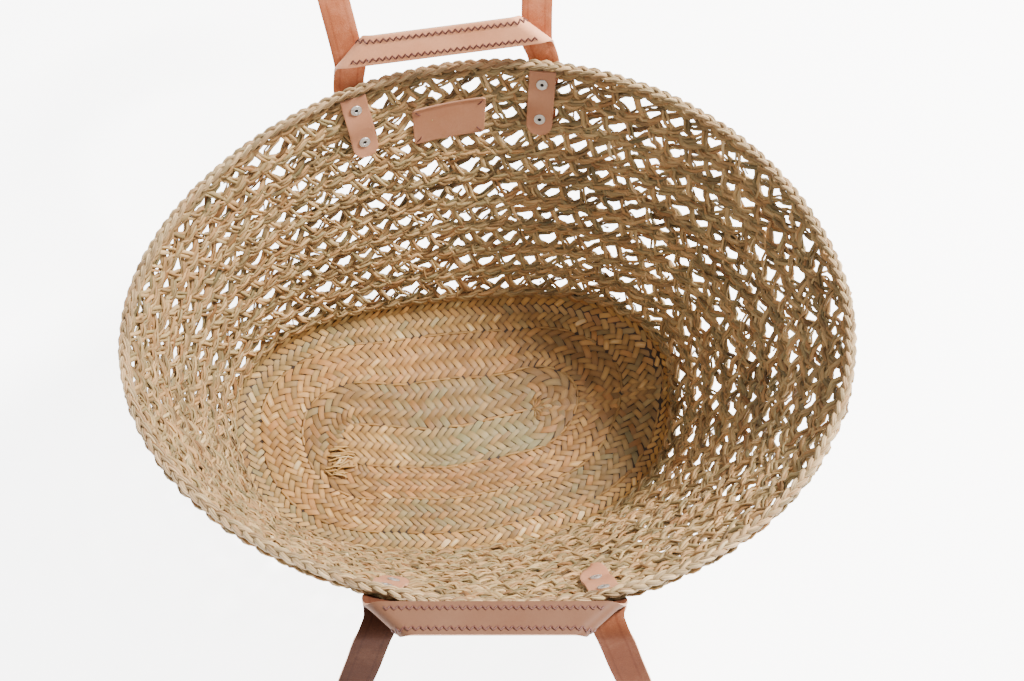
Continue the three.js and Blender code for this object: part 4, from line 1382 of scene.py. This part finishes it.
def rivet_mesh(name, place, height):
    """A rivet turned about its own axis, from its washer inside to its head outside."""
    inner = -(WALL_THICKNESS / 2 + TAB_SEAT + TAB_THICKNESS)
    washer = inner - CLEARANCE
    head = STRAP_OFFSET + STRAP_THICKNESS / 2 + CLEARANCE
    face = washer - WASHER_THICKNESS
    round_off = 0.3 * MM
    profile = [
        (0, washer - 0.15 * MM),
        (WASHER_HOLE, washer - 0.15 * MM),
        (WASHER_HOLE, face + round_off),
        (WASHER_HOLE + round_off, face),
        (RIVET_WASHER - round_off, face + 0.1 * MM),
        (RIVET_WASHER, face + round_off + 0.1 * MM),
        (RIVET_WASHER, washer),
        (RIVET_SHANK, washer),
        (RIVET_SHANK, head),
        (RIVET_WASHER, head),
        (RIVET_WASHER - 0.4 * MM, head + 0.6 * MM),
        (RIVET_WASHER * 0.5, head + 0.95 * MM),
        (0, head + WASHER_THICKNESS),
    ]
    turned = bmesh.new()
    line = [turned.verts.new((radius, 0, along)) for radius, along in profile]
    edges = [turned.edges.new(pair) for pair in zip(line, line[1:])]
    bmesh.ops.spin(turned, geom=line + edges, axis=(0, 0, 1), cent=(0, 0, 0), angle=2 * math.pi,
                   steps=24, use_merge=True)
    bmesh.ops.remove_doubles(turned, verts=turned.verts, dist=1e-6)
    bmesh.ops.recalc_face_normals(turned, faces=turned.faces)
    mesh = bpy.data.meshes.new(name)
    turned.to_mesh(mesh)
    turned.free()
    local = np.empty(len(mesh.vertices) * 3)
    mesh.vertices.foreach_get("co", local)
    local = local.reshape(-1, 3)
    axes = np.array([place["along"], place["up"], place["out"]])
    points = place["origin"] + local @ axes + place["up"] * height
    mesh.vertices.foreach_set("co", points.ravel())
    mesh.shade_smooth()
    mesh.set_sharp_from_angle(angle=math.radians(35))
    # Faces inside the washer's hole take the second material, painted near black as the shade in the hole
    for face in mesh.polygons:
        reach = np.linalg.norm(local[list(face.vertices)][:, :2], axis=1).max()
        face.material_index = 1 if reach < WASHER_HOLE * 1.02 else 0
    return mesh


class BASKET_OT_rivets(bpy.types.Operator):
    """Make the eight rivets with their washers"""

    bl_idname = "basket.rivets"
    bl_label = "Rivets"

    def execute(self, context):
        for name, sign in SIDES.items():
            side = side_frame(sign)
            for end in ("left", "right"):
                for number, height in enumerate((RIVET_SPACING / 2, -RIVET_SPACING / 2), 1):
                    mesh = rivet_mesh(f"washer_{name}_{end}_{number}", side[end], height)
                    # The second steel is painted near black: painted shade in the bore
                    metals = [steel_material(), steel_material("rivet_bore_painted_shade", 0.04)]
                    add_piece(mesh, metals, "rivet_steel", f"rivet_{name}_{end}_{number}")
        return {"FINISHED"}


def label_middle(s, t, raised=0.0):
    """The label's middle surface, which follows the wall inside, or a layer raised off it."""
    place = wall_place(LABEL_CENTRE_X, 1, LABEL_DROP)
    slant = slant_length(place["angle"])
    step = 1e-3
    speed = np.linalg.norm(wall_point(place["angle"] + step, place["share"]) - place["origin"]) / step
    right = (s - 0.5) * LABEL_WIDTH
    up = (t - 0.5) * LABEL_HEIGHT
    across = right * math.cos(LABEL_TILT) - up * math.sin(LABEL_TILT)
    rise = right * math.sin(LABEL_TILT) + up * math.cos(LABEL_TILT)
    inwards = -(WALL_THICKNESS / 2 + TAB_SEAT + LABEL_THICKNESS / 2) - raised
    return wall_point(place["angle"] - across / speed, place["share"] + rise / slant, inwards)


class BASKET_OT_label(bpy.types.Operator):
    """Make the bare leather label and its corner stitches"""

    bl_idname = "basket.label"
    bl_label = "Label"

    def execute(self, context):
        def middle_at(s, t):
            curled = 1.3 * MM * smooth(t, 0.86, 1.0)
            bowed = 0.8 * MM * np.sin(np.pi * s) * np.sin(np.pi * t)
            into = np.abs(t - 0.5) * LABEL_HEIGHT - LABEL_HEIGHT / 2 + LABEL_CORNER
            into = np.clip(into, 0, LABEL_CORNER)
            half = LABEL_WIDTH / 2 - LABEL_CORNER + np.sqrt(LABEL_CORNER ** 2 - into ** 2)
            return label_middle(0.5 + (s - 0.5) * half / (LABEL_WIDTH / 2), t, curled + bowed)

        sheet = leather_sheet("label_leather", middle_at, 48, 28, LABEL_WIDTH, LABEL_THICKNESS,
                              grain_material(), flesh_material())
        add_leather(sheet, "leather", "label")

        steps = np.linspace(-1, 1, 9)
        level = np.array([[1], [-1], [1], [-1]])
        upright = np.array([[1], [1], [-1], [-1]])
        s = np.array([[0.075], [0.925], [0.075], [0.925]]) + steps * level * LABEL_STITCH / LABEL_WIDTH
        t = np.array([[0.14], [0.14], [0.86], [0.86]]) + steps * upright * LABEL_STITCH / LABEL_HEIGHT
        over = (LABEL_THICKNESS / 2 + 0.45 * MM) - 1.1 * MM * steps ** 4
        centre = label_middle(s, t, over + 0.35 * MM)
        tangent = unit(np.gradient(centre, axis=1))
        out = np.broadcast_to(wall_place(LABEL_CENTRE_X, 1, LABEL_DROP)["out"], centre.shape)
        across = unit(np.cross(out, tangent))
        size = np.full(centre.shape[:2], 0.55 * MM)
        flat = np.zeros(centre.shape[:2])
        mesh = strands("label_stitches", centre, across, np.cross(tangent, across), size, size,
                       flat, flat, sides=6)
        add_piece(mesh, [thread_material()], "leather", "label")
        return {"FINISHED"}


# Studio

KEY_PLACE = (1.36, 0.58, 1.78)
KEY_SIZE = 0.42
FILL_PLACE = (-0.6, -1.5, 2.2)
FILL_SIZE = 1.6
LIT_PLACE = (0.03, 0.0, 0.05)
FLOOR_HALF = 4


def add_light(name, power, size, place, target, colour=(1, 1, 1)):
    light = bpy.data.lights.new(name, "AREA")
    light.energy = power
    light.size = size
    light.color = colour
    lamp = bpy.data.objects.new(name, light)
    bpy.context.scene.collection.objects.link(lamp)
    lamp.location = place
    lamp.rotation_euler = look(place, target)


def look(place, target):
    way = Vector(target) - Vector(place)
    return way.to_track_quat("-Z", "Y").to_euler()


class BASKET_OT_studio(bpy.types.Operator):
    """Make the pale floor, the soft light and the camera"""

    bl_idname = "basket.studio"
    bl_label = "Studio"

    def execute(self, context):
        studio = settings("basket_studio")
        ground = bmesh.new()
        bmesh.ops.create_grid(ground, x_segments=1, y_segments=1, size=FLOOR_HALF)
        mesh = bpy.data.meshes.new("floor")
        ground.to_mesh(mesh)
        ground.free()
        floor = bpy.data.objects.new("floor", mesh)
        context.scene.collection.objects.link(floor)
        material, tree, shader = start_material("floor_paper")
        place = add_node(tree, "ShaderNodeTexCoord").outputs["Object"]
        haze = add_node(tree, "ShaderNodeTexNoise", {"Vector": place, "Scale": 2}).outputs[0]
        colour = tuple(studio.floor)
        base = add_ramp(tree, haze, [(0.3, blended(colour, (0.85, 0.85, 0.86), 0.15)), (0.7, colour)])
        tree.links.new(base, shader.inputs["Base Color"])
        shader.inputs["Roughness"].default_value = 0.9
        shader.inputs["Emission Color"].default_value = (1, 1, 1, 1)
        shader.inputs["Emission Strength"].default_value = studio.glow
        mesh.materials.append(material)

        world = bpy.data.worlds.new("surround")
        context.scene.world = world
        world.use_nodes = True
        world.node_tree.nodes["Background"].inputs["Color"].default_value = (1, 1, 1, 1)
        world.node_tree.nodes["Background"].inputs["Strength"].default_value = studio.sky

        add_light("key_light", studio.key, KEY_SIZE, KEY_PLACE, LIT_PLACE, (1, 0.975, 0.94))
        add_light("fill_light", studio.fill, FILL_SIZE, FILL_PLACE, LIT_PLACE, (0.97, 0.98, 1))

        back = np.array([
            math.sin(CAMERA_AZIMUTH) * math.cos(CAMERA_ELEVATION),
            -math.cos(CAMERA_AZIMUTH) * math.cos(CAMERA_ELEVATION),
            math.sin(CAMERA_ELEVATION),
        ])
        camera = bpy.data.objects.new("camera", bpy.data.cameras.new("camera"))
        context.scene.collection.objects.link(camera)
        spot = CAMERA_TARGET + back * CAMERA_DISTANCE
        camera.location = spot
        camera.rotation_euler = look(spot, CAMERA_TARGET)
        camera.data.sensor_width = SENSOR_WIDTH
        camera.data.lens = CAMERA_FOCAL_PIXELS / PHOTO_WIDTH * SENSOR_WIDTH
        context.scene.camera = camera
        return {"FINISHED"}


class BASKET_PT_panel(bpy.types.Panel):
    """Lists the basket's pieces"""

    bl_idname = "BASKET_PT_panel"
    bl_label = "Straw basket bag"
    bl_space_type = "VIEW_3D"
    bl_region_type = "UI"
    bl_category = "Basket"

    def draw(self, context):
        for group in GROUPS:
            box = self.layout.box()
            owner = getattr(context.scene, group)
            for name in owner.bl_rna.properties.keys():
                if name not in ("rna_type", "name"):
                    box.prop(owner, name)
        for maker in MAKERS:
            self.layout.operator(maker.bl_idname)


GROUPS = {
    "basket_plait": BasketPlait,
    "basket_net": BasketNet,
    "basket_colours": BasketColours,
    "basket_studio": BasketStudio,
}

MAKERS = [
    BASKET_OT_plaited_base,
    BASKET_OT_netted_wall,
    BASKET_OT_braided_rim,
    BASKET_OT_handles,
    BASKET_OT_long_straps,
    BASKET_OT_tabs,
    BASKET_OT_rivets,
    BASKET_OT_label,
    BASKET_OT_studio,
]


def register():
    for name, group in GROUPS.items():
        bpy.utils.register_class(group)
        setattr(bpy.types.Scene, name, bpy.props.PointerProperty(type=group))
    for maker in MAKERS:
        bpy.utils.register_class(maker)
    bpy.utils.register_class(BASKET_PT_panel)


def unregister():
    bpy.utils.unregister_class(BASKET_PT_panel)
    for maker in reversed(MAKERS):
        bpy.utils.unregister_class(maker)
    for name, group in GROUPS.items():
        delattr(bpy.types.Scene, name)
        bpy.utils.unregister_class(group)


def main():
    register()
    for maker in MAKERS:
        family, name = maker.bl_idname.split(".")
        getattr(getattr(bpy.ops, family), name)()
    bpy.context.view_layer.update()


if __name__ == "__main__":
    main()
